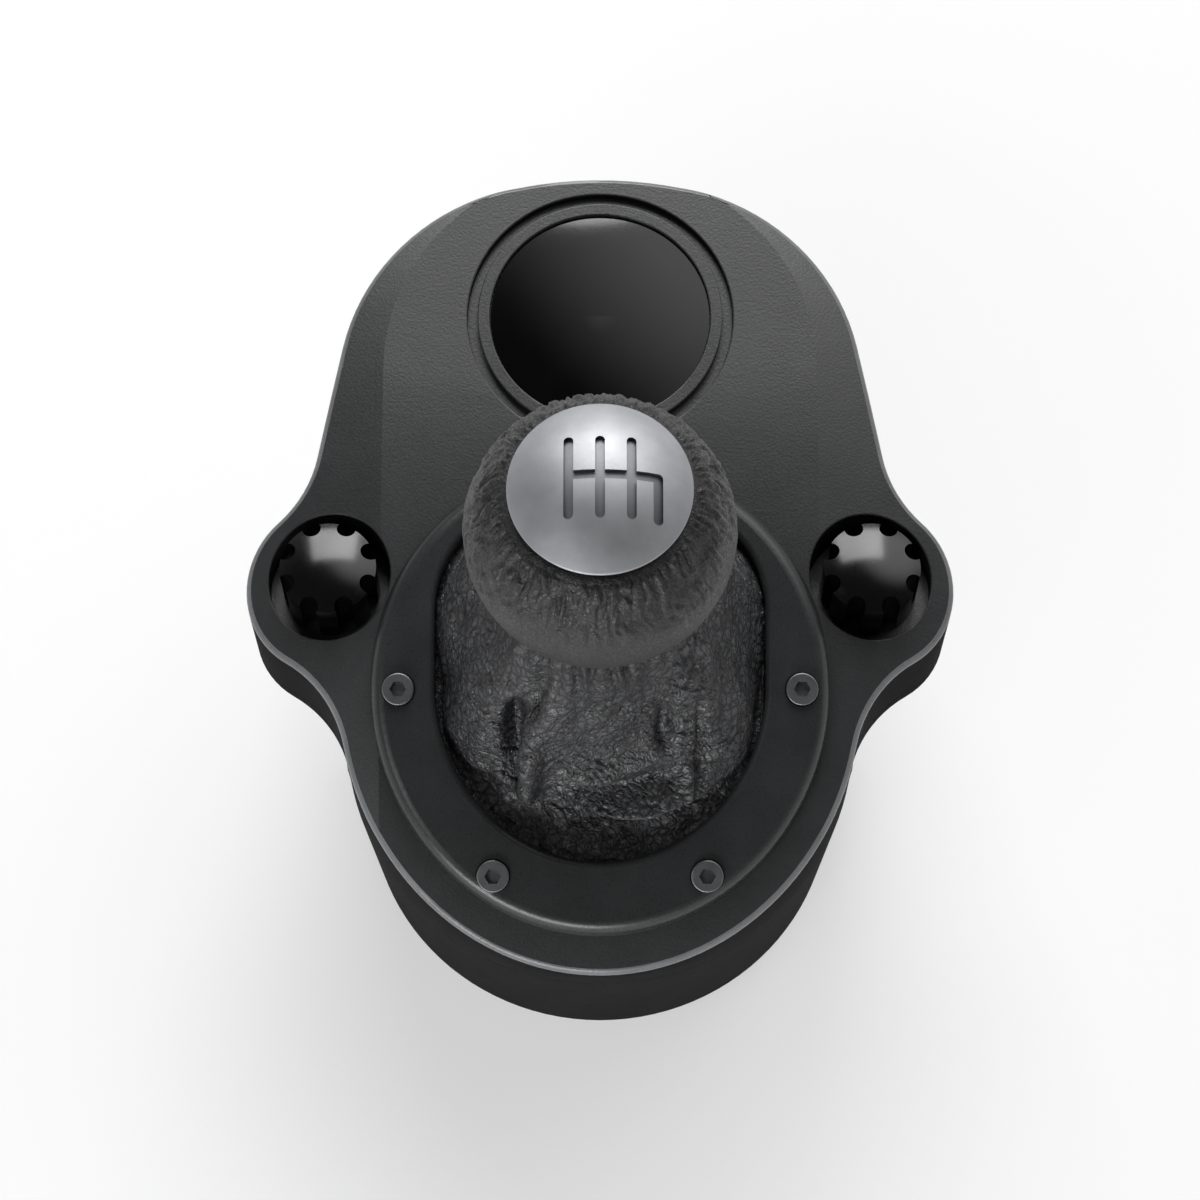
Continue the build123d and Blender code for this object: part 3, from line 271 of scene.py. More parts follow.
def new_piece(name, bm):
    """Smooth shaded object that holds the finished mesh, at the origin."""
    mesh = bpy.data.meshes.new(name)
    bm.to_mesh(mesh)
    bm.free()
    piece = bpy.data.objects.new(name, mesh)
    bpy.context.scene.collection.objects.link(piece)
    for polygon in mesh.polygons:
        polygon.use_smooth = True
    return piece


def merged_copy(node):
    """Copy of a CAD node's loose triangles, joined up into whole faces."""
    bm = bmesh.new()
    bm.from_mesh(frame["nodes"][node].data)
    bmesh.ops.remove_doubles(bm, verts=bm.verts, dist=0.001 * MM)
    bmesh.ops.dissolve_limit(bm, angle_limit=math.radians(0.5), verts=bm.verts, edges=bm.edges)
    return bm


def leather_sleeve(name, grid, directions=None):
    """Tube of leather round the lever through a grid of points in mm, of columns round it and rows down.
    A flat sheet is joined into a tube and its points move to their places. Directions give its shading."""
    columns, rows = len(grid), len(grid[0])
    bm = bmesh.new()
    bmesh.ops.create_grid(bm, x_segments=rows - 1, y_segments=columns, size=1)
    places = {vert: (round((vert.co.y + 1) / 2 * columns), round((vert.co.x + 1) / 2 * (rows - 1)))
              for vert in bm.verts}
    first = {row: vert for vert, (column, row) in places.items() if column == 0}
    last = {vert: first[row] for vert, (column, row) in places.items() if column == columns}
    bmesh.ops.weld_verts(bm, targetmap=last)
    shading = []
    for vert in bm.verts:
        column, row = places[vert]
        vert.co = grid[column][row] * MM
        if directions:
            shading.append(directions[column][row])
    piece = new_piece(name, bm)
    if directions:
        piece.data.normals_split_custom_set_from_vertices(shading)
    return piece


# Top cover

def sharp_edges(bm):
    """Outward edges between two faces that turn sharply."""
    return [edge for edge in bm.edges if len(edge.link_faces) == 2 and edge.is_convex
            and edge.calc_face_angle() > math.radians(rounded_turn)]


def round_off(bm, edges, width, segments):
    """Round edges to a width in mm; gives the new faces."""
    return bmesh.ops.bevel(bm, geom=edges, offset=width * MM, offset_type="OFFSET", affect="EDGES",
                           segments=segments, profile=0.5, clamp_overlap=False, material=-1)["faces"]


def cover_edges(bm):
    """The edges of the deck's rim, and those of the wells and of the badge's recess."""
    rim, recesses = [], []
    for edge in sharp_edges(bm):
        middle = (edge.verts[0].co + edge.verts[1].co) / 2
        tilts = [face.normal.z for face in edge.link_faces]
        if max(tilts) < flat_face or min(abs(tilt) for tilt in tilts) > upright_face:
            continue
        from_lever = math.hypot(middle.x, middle.y - lever_y) / MM
        from_badge = math.hypot(middle.x, middle.y - badge_y) / MM
        from_clamp = math.hypot(abs(middle.x) - clamp_x, middle.y - clamp_y) / MM
        if from_clamp < well_edge[1]:
            if from_clamp > well_edge[0] and middle.z > well_edge_z * MM:
                recesses.append(edge)
        elif from_badge < badge_edge[1]:
            if from_badge > badge_edge[0]:
                recesses.append(edge)
        elif from_lever > ring_reach:
            rim.append(edge)
    return rim, recesses


def crisp_shading(bm):
    """Keep the shading crisp at sharp turns, and along the deck's own slight ones."""
    for edge in bm.edges:
        if len(edge.link_faces) != 2:
            continue
        turn = math.degrees(edge.calc_face_angle())
        on_deck = min(face.normal.z for face in edge.link_faces) > deck_face
        edge.smooth = turn < crisp_turn and not (on_deck and turn > deck_turn)


def make_cover():
    """Top cover: a rounded deck rim with a painted highlight, and softer edges at wells and badge."""
    bm = merged_copy("top_cover")
    rim, recesses = cover_edges(bm)
    rim_faces = set(round_off(bm, rim, rim_rounding, 3))
    round_off(bm, [edge for edge in recesses if edge.is_valid], recess_rounding, 2)
    crisp_shading(bm)
    for face in bm.faces:
        if face in rim_faces:
            # The rim's faces take the lighter finish: a painted highlight along the edge
            face.material_index = 2
        # Upright faces take the housing's matt ABS: its duller shine is a finish, its darker colour is
        # painted shade on the sides
        elif abs(face.normal.z) < side_wall:
            face.material_index = 1
    cover = new_piece("top_cover_moulding", bm)
    weighted = cover.modifiers.new("even_shading", "WEIGHTED_NORMAL")
    weighted.keep_sharp = True
    weighted.weight = 80
    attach(cover, "housing")
    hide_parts("top_cover")
    return cover


# Leather gaiter

def opening_edge(angle):
    """Distance in mm from the lever to the edge of the ring's opening in one direction."""
    across, back = abs(math.sin(angle)), -math.cos(angle)
    side, depth = opening_half - opening_corner, opening_rear - opening_corner
    if back <= 0:
        return opening_half
    if back * opening_half <= across * depth:
        return opening_half / across
    if across * opening_rear <= back * side:
        return opening_rear / back
    along = across * side + back * depth
    return along + math.sqrt(along ** 2 - side ** 2 - depth ** 2 + opening_corner ** 2)


def profile_at(angle):
    """Profile in one direction, with smooth values between the given ones all the way round."""
    keys = sorted(gaiter_profiles)
    turns = [key - 360 for key in keys[-2:]] + keys + [key + 360 for key in keys[:2]]
    while angle >= turns[-2]:
        angle -= 360
    index = max(i for i in range(1, len(turns) - 2) if turns[i] <= angle)
    spots = turns[index - 1:index + 3]
    rows = [gaiter_profiles[(spot - keys[0]) % 360 + keys[0]] for spot in spots]
    gap = spots[2] - spots[1]
    t = (angle - spots[1]) / gap
    profile = []
    for points in zip(*rows):
        values = []
        for a, b, c, d in zip(*points):
            leave = (c - a) / (spots[2] - spots[0]) * gap
            arrive = (d - b) / (spots[3] - spots[1]) * gap
            values.append((2 * t ** 3 - 3 * t ** 2 + 1) * b + (t ** 3 - 2 * t ** 2 + t) * leave
                          + (3 * t ** 2 - 2 * t ** 3) * c + (t ** 3 - t ** 2) * arrive)
        profile.append(tuple(values))
    return profile


def rounded_path(points, rounding):
    """Polyline through the points with its corners rounded."""
    path = [points[0]]
    for index in range(1, len(points) - 1):
        before, corner, after = points[index - 1:index + 2]
        back, ahead = before - corner, after - corner
        reach = min(rounding[index], back.length * 0.5, ahead.length * 0.5)
        start, end = corner + back.normalized() * reach, corner + ahead.normalized() * reach
        for step in range(corner_steps + 1):
            t = step / corner_steps
            path.append(start * (1 - t) ** 2 + corner * 2 * t * (1 - t) + end * t ** 2)
    path.append(points[-1])
    return path


def spread(path, count, last=True):
    """Points at even distances along a path, with or without its last one."""
    lengths = [0.0]
    for before, after in zip(path, path[1:]):
        lengths.append(lengths[-1] + (after - before).length)
    spots, index = [], 0
    for step in range(count + (1 if last else 0)):
        target = lengths[-1] * step / count
        while index < len(lengths) - 2 and lengths[index + 1] < target:
            index += 1
        gap = lengths[index + 1] - lengths[index]
        share = 0.0 if gap == 0 else (target - lengths[index]) / gap
        spots.append(path[index].lerp(path[index + 1], min(1.0, share)))
    return spots


def lift_of(spot):
    """Height over the tilted plane of the trim ring, in mm, of a point on the gaiter."""
    return (spot.y - lever_y / MM) * deck_normal.y + (spot.z - gaiter_foot) * deck_normal.z


def cut_at(path, lift):
    """Split a path where it comes down through a height over the trim ring."""
    last = max(i for i, spot in enumerate(path) if lift_of(spot) >= lift)
    above, below = path[last], path[last + 1]
    share = (lift_of(above) - lift) / (lift_of(above) - lift_of(below))
    middle = above.lerp(below, share)
    return path[:last + 1] + [middle], [middle] + path[last + 1:]


def gaiter_column(angle, ring_tree):
    """Points down the gaiter in one direction, evenly spaced in each of its three lengths."""
    across, back = math.sin(angle), -math.cos(angle)
    profile = profile_at(math.degrees(angle))
    edge = opening_edge(angle)
    reach = edge + face_probe[0]
    probe = Vector((across * reach, lever_y / MM + back * reach, face_probe[1])) * MM
    hit = ring_tree.ray_cast(probe, Vector((0, 0, -1)))[0]
    low = hit.z / MM - tuck_depth
    profile[-1] = (min(profile[-1][0], edge - profile_gap), max(profile[-1][1], low + tuck_rise))
    profile.append((edge - tuck_gap, low))
    points = [Vector((across * radius, lever_y / MM + back * radius, high)) for radius, high in profile]
    top, rest = cut_at(rounded_path(points, gaiter_rounding), gaiter_cuts[1])
    middle, foot = cut_at(rest, gaiter_cuts[0])
    return (spread(top, gaiter_rows[0], False) + spread(middle, gaiter_rows[1], False)
            + spread(foot, gaiter_rows[2]))


def outward(grid):
    """Outward direction at each point of a grid that closes on itself round the lever."""
    columns, rows = len(grid), len(grid[0])
    directions = []
    for column in range(columns):
        line = []
        for row in range(rows):
            down = grid[column][min(row + 1, rows - 1)] - grid[column][max(row - 1, 0)]
            round_about = grid[(column + 1) % columns][row] - grid[column - 1][row]
            line.append(down.cross(round_about).normalized())
        directions.append(line)
    return directions


def cracks(spot, size, width):
    """1 along the edges of uneven cells of a size in mm, falling to 0 over a share of it."""
    distances, _ = noise.voronoi(spot / size)
    return 1 - smooth(0.0, width, distances[1] - distances[0])


def gathers(angle, high):
    """Small pleats, in mm, where the leather is drawn in to the collar."""
    wander = 4.4 * noise.noise(Vector((math.sin(angle) * 2, math.cos(angle) * 2, high * 0.03)))
    return gather_depth * smooth(*gather_rise, high) * math.sin(gather_count * angle + wander)


def wrinkles(spot):
    """Soft waves in the leather, and creases of two sizes where it has been bent, in mm."""
    waves = (wave_depth[0] * noise.noise(spot / wave_size[0] + Vector((3.1, 0.4, 7.7)))
             + wave_depth[1] * noise.noise(spot / wave_size[1] + Vector((1.3, 5.9, 2.2))))
    wander = Vector([noise.noise(spot / wander_size + Vector(shift))
                     for shift in ((0, 0, 0), (9, 1, 4), (2, 8, 6))])
    stretched = Vector([part * share for part, share in zip(spot, crease_stretch)]) + wander * wander_reach
    bent = smooth(*bent_values, 0.5 + noise.noise(spot / bent_size))
    return (waves - crease_depth[0] * bent * cracks(stretched, crease_size[0], crease_width[0])
            - crease_depth[1] * cracks(stretched + Vector((5, 5, 5)), crease_size[1], crease_width[1]))


def front_folds(spot):
    """Fold that runs down the left of the front with a ridge beside it, and a short one at the right."""
    reach = smooth(*fold_top, spot.z) * smooth(*fold_foot, spot.z) * smooth(*fold_front, spot.y)
    from_fold = spot.x - left_fold_spot[0] + left_fold_slant * (left_fold_spot[1] - spot.y)
    left = bell(from_fold, *left_ridge) - bell(from_fold, *left_dip)
    return reach * (left - bell(spot.x, *right_dip) * smooth(*right_front, spot.y))


def sewn_seam(spot, angle):
    """Seam down the right of the front: a raised edge, a step down beside it and pulled pleats."""
    if spot.x <= 0 or math.cos(angle) <= -0.05:
        return 0.0
    reach = smooth(*seam_top, spot.z) * smooth(*seam_foot, spot.z)
    side = spot.x - seam_x + seam_wander[0] * noise.noise(Vector((0, 0, spot.z / seam_wander[1])))
    edge = seam_edge * smooth(*edge_rise, side) * (1 - smooth(*edge_drop, side))
    step = seam_step * smooth(*edge_drop, side) * (1 - smooth(*step_end, side))
    pleat = 0.5 + 0.5 * math.sin(spot.z * 2 * math.pi / pleat_spacing + noise.noise(spot / 4) * 3)
    pulled = seam_pleat * pleat ** 2 * smooth(*pleat_start, side) * (1 - smooth(*pleat_end, side))
    return reach * (edge - step - pulled)


def gaiter_grid():
    """Points of the whole gaiter, with its gathers, wrinkles, folds and seam worked into them."""
    bm = bmesh.new()
    bm.from_mesh(frame["nodes"]["boot_ring"].data)
    ring_tree = BVHTree.FromBMesh(bm)
    bm.free()
    angles = [2 * math.pi * column / gaiter_columns for column in range(gaiter_columns)]
    grid = [gaiter_column(angle, ring_tree) for angle in angles]
    for angle, line, directions in zip(angles, grid, outward(grid)):
        for row, spot in enumerate(line):
            stands_out = (gathers(angle, spot.z) + wrinkles(spot) + front_folds(spot)
                          + sewn_seam(spot, angle))
            spot += directions[row] * stands_out * smooth(0, 5, len(line) - 1 - row)
    return grid


def make_gaiter():
    """Gathered leather in three lengths, one for each joint of the lever, baked in place."""
    grid = gaiter_grid()
    directions = outward(grid)
    low_cut, high_cut = gaiter_cuts
    first_cut, second_cut, end = gaiter_rows[0], gaiter_rows[0] + gaiter_rows[1], sum(gaiter_rows)
    lengths = [("gaiter_top", 0, first_cut, "carrier", "lever", high_cut + cut_margin, gaiter_bend[1]),
               ("gaiter_middle", first_cut, second_cut, "gimbal", "carrier",
                low_cut + cut_margin, high_cut - cut_margin),
               ("gaiter_foot", second_cut, end, "housing", "gimbal",
                gaiter_bend[0], low_cut - cut_margin)]
    pieces = []
    for name, first, last, below, above, low, high in lengths:
        piece = leather_sleeve(name, [line[first:last + 1] for line in grid],
                               [line[first:last + 1] for line in directions])
        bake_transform(piece)
        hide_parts("leather_boot")
        pieces.append(piece)
    return pieces


# Leather on the knob

def knob_relief(spot, turn, slope):
    """Gathered pleats under the cap that run out into fine grain, in mm; slope is 0 at the top.
    A small share of each stays where the leather isn't gathered."""
    wander = noise.noise(spot / 7.0) * 0.07 + noise.noise(spot / 2.5) * 0.02
    round_about = Vector((math.cos(turn + wander), math.sin(turn + wander), 0.0)) * knob_radius / MM
    gathered = 1 - smooth(*gathered_slopes, math.degrees(slope) + 14 * noise.noise(spot / 9))
    long_cells = round_about / long_pleat[0] + Vector((0, 0, slope * 2.6 + noise.noise(spot / 5) * 0.3))
    fine_cells = round_about / fine_grain[0] + Vector((0, 0, slope * 7.0))
    return (swelling[1] * noise.noise(spot / swelling[0]) * (0.25 + 0.75 * gathered)
            - long_pleat[1] * cracks(long_cells, 1.0, 0.40) * (0.08 + 0.92 * gathered)
            - fine_grain[1] * cracks(fine_cells, 1.0, 0.45) * (0.2 + 0.8 * gathered))


def knob_column(turn):
    """Points down the leather in one direction: the tuck under the cap, the ball and the neck."""
    top, low, radius = knob_high.z / MM, knob_low.z / MM, knob_radius / MM
    across, back = math.cos(turn), math.sin(turn)
    under_cap, round_neck = [
        [Vector((reach * across, lever_y / MM + reach * back, end + rise)) for reach, rise in rings]
        for rings, end in ((cap_tuck, top), (neck_tuck, low))]
    middle = Vector((0, lever_y / MM, knob_centre))
    start, end = math.acos((top - 0.3 - knob_centre) / radius), math.radians(neck_slope)
    ball = []
    for row in range(knob_rows + 1):
        slope = start + (end - start) * row / knob_rows
        way = Vector((math.sin(slope) * across, math.sin(slope) * back, math.cos(slope)))
        hold = smooth(0, 3, row) * smooth(0, 6, knob_rows - row)
        stands_out = (knob_relief(way * radius, turn, slope) * hold
                      - cap_tuck_depth * (1 - smooth(0, 4, row)))
        ball.append(way * radius + way * stands_out + middle)
    return under_cap + ball + round_neck


def make_knob_leather():
    """Leather drawn over the ball and tucked in under the cap and round the neck."""
    piece = leather_sleeve("knob_leather_cover", [knob_column(2 * math.pi * column / knob_columns)
                                                  for column in range(knob_columns)])
    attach(piece, "lever")
    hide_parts("knob_leather")
    return piece


# Springs

def make_spring(name, node, side=0):
    """Copy of a spring, or of the one at one side, baked in place."""
    bm = merged_copy(node)
    bmesh.ops.delete(bm, geom=[vert for vert in bm.verts if vert.co.x * side < 0], context="VERTS")
    piece = new_piece(name, bm)
    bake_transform(piece)
    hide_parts(node)
    return piece


def make_springs():
    """The spring that the lever is pressed down against, and the two that centre it."""
    springs = [make_spring("reverse_coil", "reverse_spring")]
    for side, name in ((-1, "left_centring_coil"), (1, "right_centring_coil")):
        springs.append(make_spring(name, "centring_springs",
                                   side))
    return springs


# Camera and studio

def turn_to(thing, target):
    """Turn the camera or a lamp so that it looks at a spot."""
    thing.rotation_mode = "QUATERNION"
    thing.rotation_quaternion = (target - thing.location).to_track_quat("-Z", "Y")


def make_camera():
    """Camera at the photograph's viewing angle."""
    data = bpy.data.cameras.new("camera")
    data.sensor_width = 36.0
    data.lens = camera_lens
    camera = bpy.data.objects.new("camera", data)
    bpy.context.scene.collection.objects.link(camera)
    camera.location = camera_spot
    turn_to(camera, camera_target)
    bpy.context.scene.camera = camera


def make_lamp(name, spot, width, height, level):
    """Soft box of a size in metres, as bright as a white surface times the level."""
    data = bpy.data.lights.new(name, "AREA")
    data.shape = "RECTANGLE"
    data.size = width
    data.size_y = height
    data.energy = level * math.pi * width * height
    lamp = bpy.data.objects.new(name, data)
    bpy.context.scene.collection.objects.link(lamp)
    lamp.location = spot
    turn_to(lamp, lamp_target)
    lamp.visible_camera = False


def seen_rays(tree):
    """1 for the rays that show the background itself, to the camera or in metal and glass."""
    rays = add(tree, "LightPath").outputs
    seen = rays["Is Camera Ray"]
    for other in ("Is Glossy Ray", "Is Transmission Ray"):
        seen = add(tree, "Math", {0: seen, 1: rays[other]}, operation="MAXIMUM").outputs[0]
    return seen


def make_sky():
    """Even sky that is darker overhead, with a soft glow, and a pale backdrop at the horizon."""
    world = bpy.data.worlds.new("studio")
    bpy.context.scene.world = world
    world.use_nodes = True
    tree = world.node_tree
    tree.nodes.clear()
    ray = add(tree, "TexCoord").outputs["Generated"]
    height = add(tree, "SeparateXYZ", {0: ray}).outputs["Z"]
    sky = add(tree, "MapRange", {"Value": height, "From Min": sky_fade[0], "From Max": sky_fade[1],
                                 "To Min": sky_levels[0], "To Max": sky_levels[1]},
              interpolation_type="SMOOTHSTEP")
    cosine = add(tree, "VectorMath", {0: ray, 1: glow_way}, operation="DOT_PRODUCT").outputs["Value"]
    glow = add(tree, "MapRange", {"Value": cosine, "From Min": math.cos(math.radians(glow_start)),
                                  "From Max": math.cos(math.radians(glow_full)), "To Max": glow_level},
               interpolation_type="SMOOTHSTEP")
    total = add(tree, "Math", {0: sky.outputs[0], 1: glow.outputs[0]}, operation="ADD").outputs[0]
    band = add(tree, "MapRange", {"Value": height, "From Min": backdrop_fade[0],
                                  "From Max": backdrop_fade[1], "To Min": backdrop_level, "To Max": 0.0},
               interpolation_type="SMOOTHSTEP")
    pale = add(tree, "Math", {0: total, 1: band.outputs[0]}, operation="MAXIMUM").outputs[0]
    strength = add(tree, "Mix", {0: seen_rays(tree), 2: total, 3: pale}, data_type="FLOAT").outputs[0]
    background = add(tree, "Background", {"Color": (1, 1, 1, 1), "Strength": strength})
    add(tree, "OutputWorld", {"Surface": background.outputs[0]})


def floor_material():
    """Matt pale floor. The camera and reflections see half of it by its colour alone, so that
    it stays pale to the horizon, and half by the light on it, so that it keeps the shadow."""
    material = bpy.data.materials.new("pale_floor")
    material.use_nodes = True
    tree = material.node_tree
    tree.nodes.clear()
    matt = add(tree, "BsdfDiffuse", {"Color": linear(floor_code)})
    even = add(tree, "Emission", {"Color": linear(floor_code), "Strength": 1.0})
    half = add(tree, "Math", {0: seen_rays(tree), 1: 0.5}, operation="MULTIPLY")
    floor = add(tree, "MixShader", {0: half.outputs[0], 1: matt.outputs[0], 2: even.outputs[0]})
    add(tree, "OutputMaterial", {"Surface": floor.outputs[0]})
    return material


def make_studio():
    """Pale floor under the sky, with soft boxes behind, at both sides and in front."""
    bpy.context.scene.view_settings.view_transform = "Standard"
    make_sky()
    for name, (spot, width, height, level) in soft_boxes.items():
        make_lamp(name, spot, width, height, level)
    bm = bmesh.new()
    bmesh.ops.create_grid(bm, x_segments=1, y_segments=1, size=floor_reach)
    floor = new_piece("floor", bm)
    floor.data.materials.append(floor_material())


# Materials. Colours are hex values between which soft patches vary, and roughness is a range that a
# fine pattern runs through. Sizes and depths of patterns are in mm.

def new_surface(name):
    """New material; gives it, its tree, its Principled shader and the place on the object."""
    material = bpy.data.materials.new(name)
    material.use_nodes = True
    tree = material.node_tree
    return material, tree, tree.nodes["Principled BSDF"], add(tree, "TexCoord").outputs["Object"]


def patched_colour(tree, place, dark, light, patch):
    """Colour between two hex values in soft patches."""
    cloud = add(tree, "TexNoise", {"Vector": place, "Scale": 1 / (patch * MM), "Detail": 3.0})
    share = add(tree, "MapRange", {"Value": cloud.outputs["Fac"], "From Min": patch_values[0],
                                   "From Max": patch_values[1]})
    mix = add(tree, "Mix", {0: share.outputs[0], 6: linear(dark), 7: linear(light)}, data_type="RGBA")
    return mix.outputs[2]


def grained(name, dark, light, rough, patch, grain, depth):
    """Surface in patched colour with a fine grain, which varies its shine and stands out a little."""
    material, tree, shader, place = new_surface(name)
    tree.links.new(patched_colour(tree, place, dark, light, patch), shader.inputs["Base Color"])
    pattern = add(tree, "TexNoise", {"Vector": place, "Scale": 1 / (grain * MM), "Detail": 2.0})
    fine = pattern.outputs["Fac"]
    varied = add(tree, "MapRange", {"Value": fine, "From Min": grain_values[0],
                                    "From Max": grain_values[1], "To Min": rough[0], "To Max": rough[1]})
    tree.links.new(varied.outputs[0], shader.inputs["Roughness"])
    bump = add(tree, "Bump", {"Height": fine, "Strength": 1.0, "Distance": depth * MM})
    tree.links.new(bump.outputs[0], shader.inputs["Normal"])
    return material, tree, shader, place


def moulded_plastic(name, dark, light, rough, grain=0.5, depth=0.03, shine=0.5):
    """Moulded plastic. The grain of its mould is about 0.1 mm, too fine to show, so it is drawn as
    coarse as 0.5 mm."""
    material, _, shader, _ = grained(name, dark, light, rough, plastic_patch, grain, depth)
    shader.inputs["Specular IOR Level"].default_value = shine
    return material


def worked_metal(name, dark, light, rough):
    """Metal whose tool marks and plating break up its shine. The real ones are too fine to show, so
    they are drawn as coarse as 0.3 mm."""
    material, _, shader, _ = grained(name, dark, light, rough, metal_patch, *tool_marks)
    shader.inputs["Metallic"].default_value = 1.0
    return material


def engraved_metal(name, dark, light, rough, groove_shade_code, cut_depth, dome_edge_z):
    """Metal of the domed cap. Below its surface, and above the height of its edge, lies the engraved
    pattern, which is painted darker as painted shade in its grooves."""
    material, tree, shader, place = grained(name, dark, light, rough, metal_patch, *tool_marks)
    shader.inputs["Metallic"].default_value = 1.0
    middle = (0.0, lever_y, knob_centre * MM)
    away = add(tree, "VectorMath", {0: place, 1: middle}, operation="DISTANCE").outputs["Value"]
    below = add(tree, "MapRange", {"Value": away, "From Min": knob_radius - cut_depth[1] * MM,
                                   "From Max": knob_radius - cut_depth[0] * MM,
                                   "To Min": 1.0, "To Max": 0.0})
    height = add(tree, "SeparateXYZ", {0: place}).outputs["Z"]
    inner = add(tree, "MapRange", {"Value": height, "From Min": dome_edge_z[0] * MM,
                                   "From Max": dome_edge_z[1] * MM})
    share = add(tree, "Math", {0: below.outputs[0], 1: inner.outputs[0]}, operation="MULTIPLY")
    # Painted shade: the grooves darker than the plain metal
    plain = shader.inputs["Base Color"].links[0].from_socket
    mix = add(tree, "Mix", {0: share.outputs[0], 6: plain, 7: linear(groove_shade_code)}, data_type="RGBA")
    tree.links.new(mix.outputs[2], shader.inputs["Base Color"])
    return material


def grained_leather(name, crease_shade_code, dark, light, rough, cell, depth, shine=0.5):
    """Leather: uneven pebbles of a cell's size with smaller ones on them, and duller creases between
    them, painted darker as shade. Real pebbles are about half that size, too fine to show, so they
    are drawn larger."""
    # In cells: size and reach of their wandering, how small the small ones are, and crease widths
    wander_cells, reach_cells, small_to_a_cell = 2.2, 1.1, 2.3
    crease, small_crease = 0.22, 0.30
    material, tree, shader, place = new_surface(name)
    wander = add(tree, "TexNoise", {"Vector": place, "Scale": 1 / (cell * wander_cells * MM),
                                      "Detail": 2.0})
    shift = add(tree, "VectorMath", {0: wander.outputs["Color"], "Scale": cell * reach_cells * MM},
                operation="SCALE")
    bent = add(tree, "VectorMath", {0: place, 1: shift.outputs[0]}, operation="ADD").outputs[0]
    coarse = add(tree, "TexVoronoi", {"Vector": bent, "Scale": 1 / (cell * MM)},
                 feature="DISTANCE_TO_EDGE").outputs["Distance"]
    fine = add(tree, "TexVoronoi", {"Vector": bent, "Scale": small_to_a_cell / (cell * MM)},
               feature="DISTANCE_TO_EDGE").outputs["Distance"]
    pebbles = add(tree, "MapRange", {"Value": coarse, "From Max": crease}).outputs[0]
    small = add(tree, "MapRange", {"Value": fine, "From Max": small_crease}).outputs[0]
    # The small ones are squared, which widens the dips between them
    height = add(tree, "Math", {0: small, 1: small, 2: pebbles}, operation="MULTIPLY_ADD")
    skin = patched_colour(tree, place, dark, light, leather_patch)
    # Painted shade: the creases between the pebbles darker than the skin
    mix = add(tree, "Mix", {0: pebbles, 6: linear(crease_shade_code), 7: skin}, data_type="RGBA")
    tree.links.new(mix.outputs[2], shader.inputs["Base Color"])
    varied = add(tree, "MapRange", {"Value": pebbles, "To Min": rough[1], "To Max": rough[0]})
    tree.links.new(varied.outputs[0], shader.inputs["Roughness"])
    bump = add(tree, "Bump", {"Height": height.outputs[0], "Strength": 1.0, "Distance": depth * MM})
    tree.links.new(bump.outputs[0], shader.inputs["Normal"])
    shader.inputs["Specular IOR Level"].default_value = shine
    return material


make_camera()
make_studio()

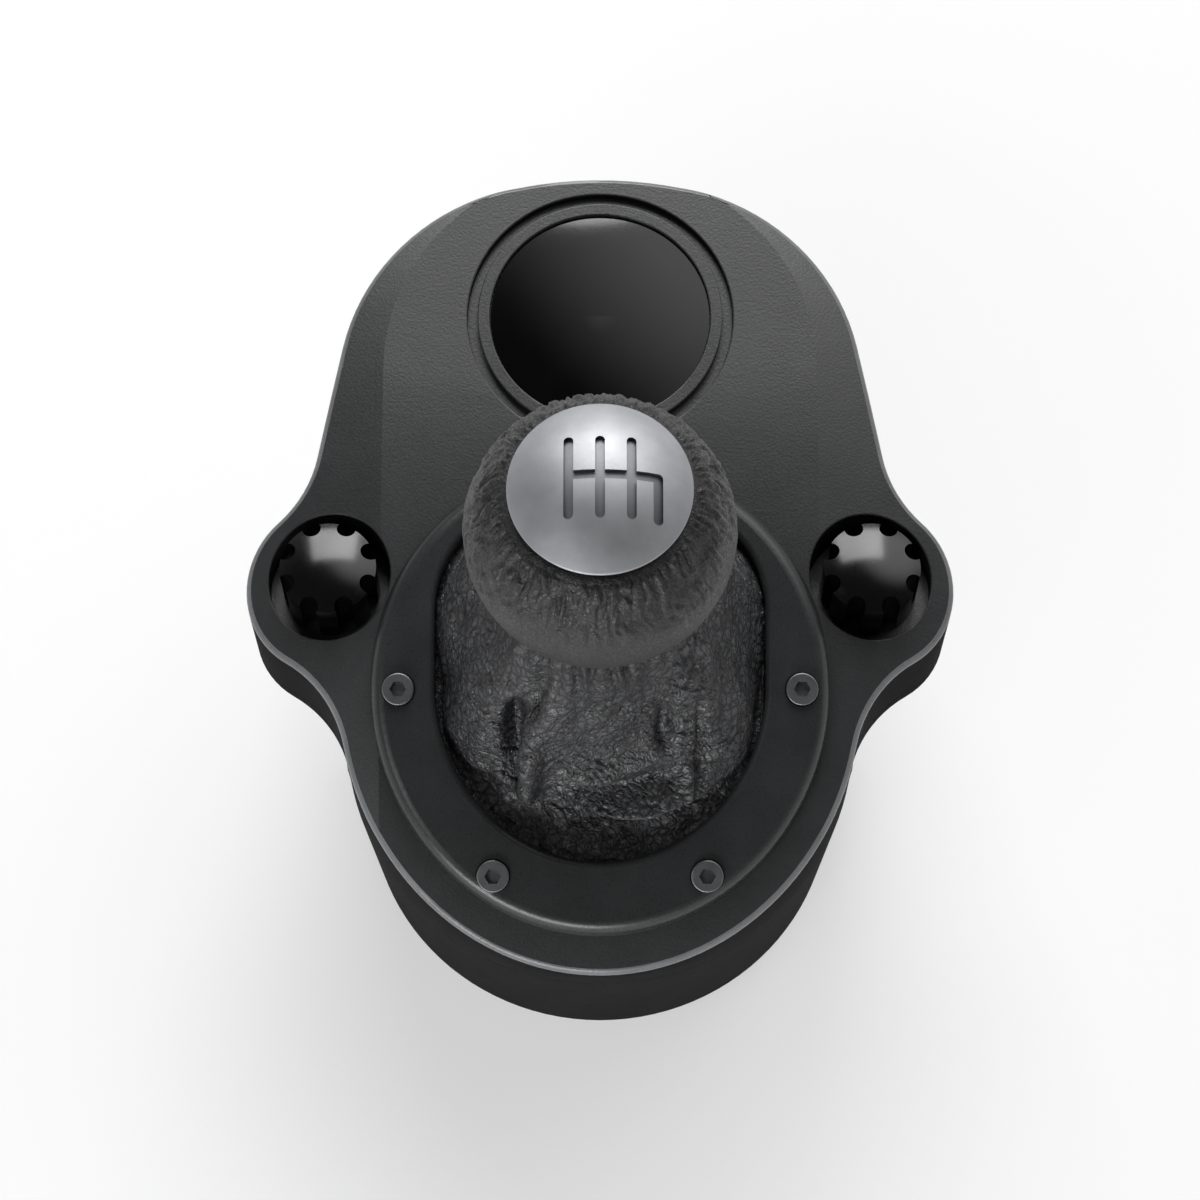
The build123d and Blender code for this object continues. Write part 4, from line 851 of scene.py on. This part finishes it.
finishes = {
    # Moulded ABS with a fine spark texture: a dark grey deck with a soft, broad shine
    "textured_cover_plastic": moulded_plastic("moulded_abs_spark_texture", "262728", "2a2b2c",
                                              (0.35, 0.44), grain=0.55, depth=0.05),
    # The same ABS left matt: near black, with hardly a highlight
    "lower_housing_plastic": moulded_plastic("moulded_abs_matt", "171718", "1b1b1c", (0.86, 0.96),
                                             depth=0.05, shine=0.06),
    # Satin moulding: a clear but soft highlight round the badge and the collar
    "satin_trim_plastic": moulded_plastic("satin_plastic", "242526", "2a2b2c", (0.25, 0.33)),
    # Polished acrylic: black, and almost a mirror
    "gloss_badge_plastic": moulded_plastic("polished_acrylic", "020202", "040404", (0.04, 0.06),
                                           depth=0.0005),
    # Satin paint on aluminium: black, with even gleams along the ring's edge
    "ring_painted_metal": moulded_plastic("satin_paint_on_aluminium", "242526", "292a2b", (0.26, 0.34),
                                          depth=0.01),
    # Blackened steel: dark heads that still shine like metal
    "black_screw_steel": worked_metal("blackened_steel", "6a6b6d", "757678", (0.40, 0.50)),
    # Grained leather: black pebbles with a low shine, and duller creases painted darker as shade
    "gaiter_leather": grained_leather("grained_leather", "0c0c0d", "303134", "3d3e41", (0.33, 0.50),
                                      cell=2.0, depth=0.10),
    # Smooth leather with a fine grain: darker and duller than the boot, its creases painted darker as shade
    "knob_leather": grained_leather("smooth_leather", "0b0b0c", "1d1d1e", "242526", (0.35, 0.52),
                                    cell=0.9, depth=0.05, shine=0.42),
    # Satin anodised aluminium: a bright, broad highlight over the dome, and painted shade in the engraved
    # grooves
    "satin_cap_metal": engraved_metal("satin_anodised_aluminium", "999a9d", "a3a4a7", (0.52, 0.58),
                                      "77787b", cut_depth=(0.2, 0.7), dome_edge_z=(206.2, 206.8)),
    # Polished ABS: black with sharp highlights
    "clamp_knob_plastic": moulded_plastic("polished_abs", "050505", "070707", (0.15, 0.20), depth=0.001),
    # Glass filled nylon: dull dark grey, and a little smoother on the jaws
    "structural_plastic": moulded_plastic("glass_filled_nylon", "1c1c1c", "242424", (0.48, 0.62)),
    "jaw_plastic": moulded_plastic("glass_filled_nylon_jaw", "1b1c1d", "232425", (0.45, 0.58)),
    # Turned steel: bright, with a narrow highlight
    "turned_steel": worked_metal("turned_steel", "9a9b9d", "b0b1b3", (0.24, 0.34)),
    # Spring steel: darker and a little oily
    "spring_steel": worked_metal("spring_steel", "77787a", "8c8d8f", (0.26, 0.36)),
    # Zinc plated steel: pale and slightly clouded
    "zinc_screw_steel": worked_metal("zinc_plated_steel", "a5a7aa", "bcbec1", (0.30, 0.42)),
    # Cast zinc: mid grey and soft
    "cast_block_metal": worked_metal("cast_zinc", "85878a", "989a9d", (0.38, 0.52)),
    # Galvanised sheet: pale grey, cloudy and dull
    "pressed_frame_steel": worked_metal("galvanised_sheet", "9b9ea1", "adb0b3", (0.34, 0.48)),
    # Turned brass: bright yellow metal
    "brass": worked_metal("turned_brass", "b08d49", "c2a05a", (0.24, 0.34)),
    # Sintered bronze: brown and dull, as it is full of fine pores
    "bearing_bronze": worked_metal("sintered_bronze", "8d6a3e", "9c784a", (0.40, 0.52)),
    # PBT: plain black plastic
    "sensor_plastic": moulded_plastic("black_pbt", "151515", "1b1b1b", (0.40, 0.52)),
    # Green solder mask on laminate
    "circuit_board_laminate": moulded_plastic("solder_mask", "0c3a22", "124a2c", (0.30, 0.42)),
    # Natural nylon: ivory and slightly waxy
    "connector_plastic": moulded_plastic("natural_nylon", "d6d0c2", "e2dccf", (0.40, 0.52)),
    # Epoxy: the flat black of a chip's package
    "chip_epoxy": moulded_plastic("epoxy_package", "101011", "161617", (0.45, 0.56)),
    # Soft rubber: black with no clear highlight
    "soft_rubber": moulded_plastic("soft_rubber", "18181a", "202022", (0.68, 0.82)),
}
# The cover's rounded rim: lighter than the deck as a painted highlight, and shinier
rim_painted_highlight_finish = moulded_plastic("abs_edge_painted_highlight", "616264", "6c6d70", (0.26, 0.36))

slots = {part["node"]: part["material_slot"] for part in frame["record"]["subparts"]}
for name, piece in frame["nodes"].items():
    piece.data.materials.clear()
    piece.data.materials.append(finishes[slots[name]])

cover = make_cover()
made = {"textured_cover_plastic": [cover],
        "gaiter_leather": make_gaiter(),
        "knob_leather": [make_knob_leather()],
        "spring_steel": make_springs()}
for slot, pieces in made.items():
    for piece in pieces:
        piece.data.materials.append(finishes[slot])
# Upright sides of the cover: matt ABS whose darker colour is painted shade
cover.data.materials.append(finishes["lower_housing_plastic"])
# The rim's lighter finish, a painted highlight
cover.data.materials.append(rim_painted_highlight_finish)
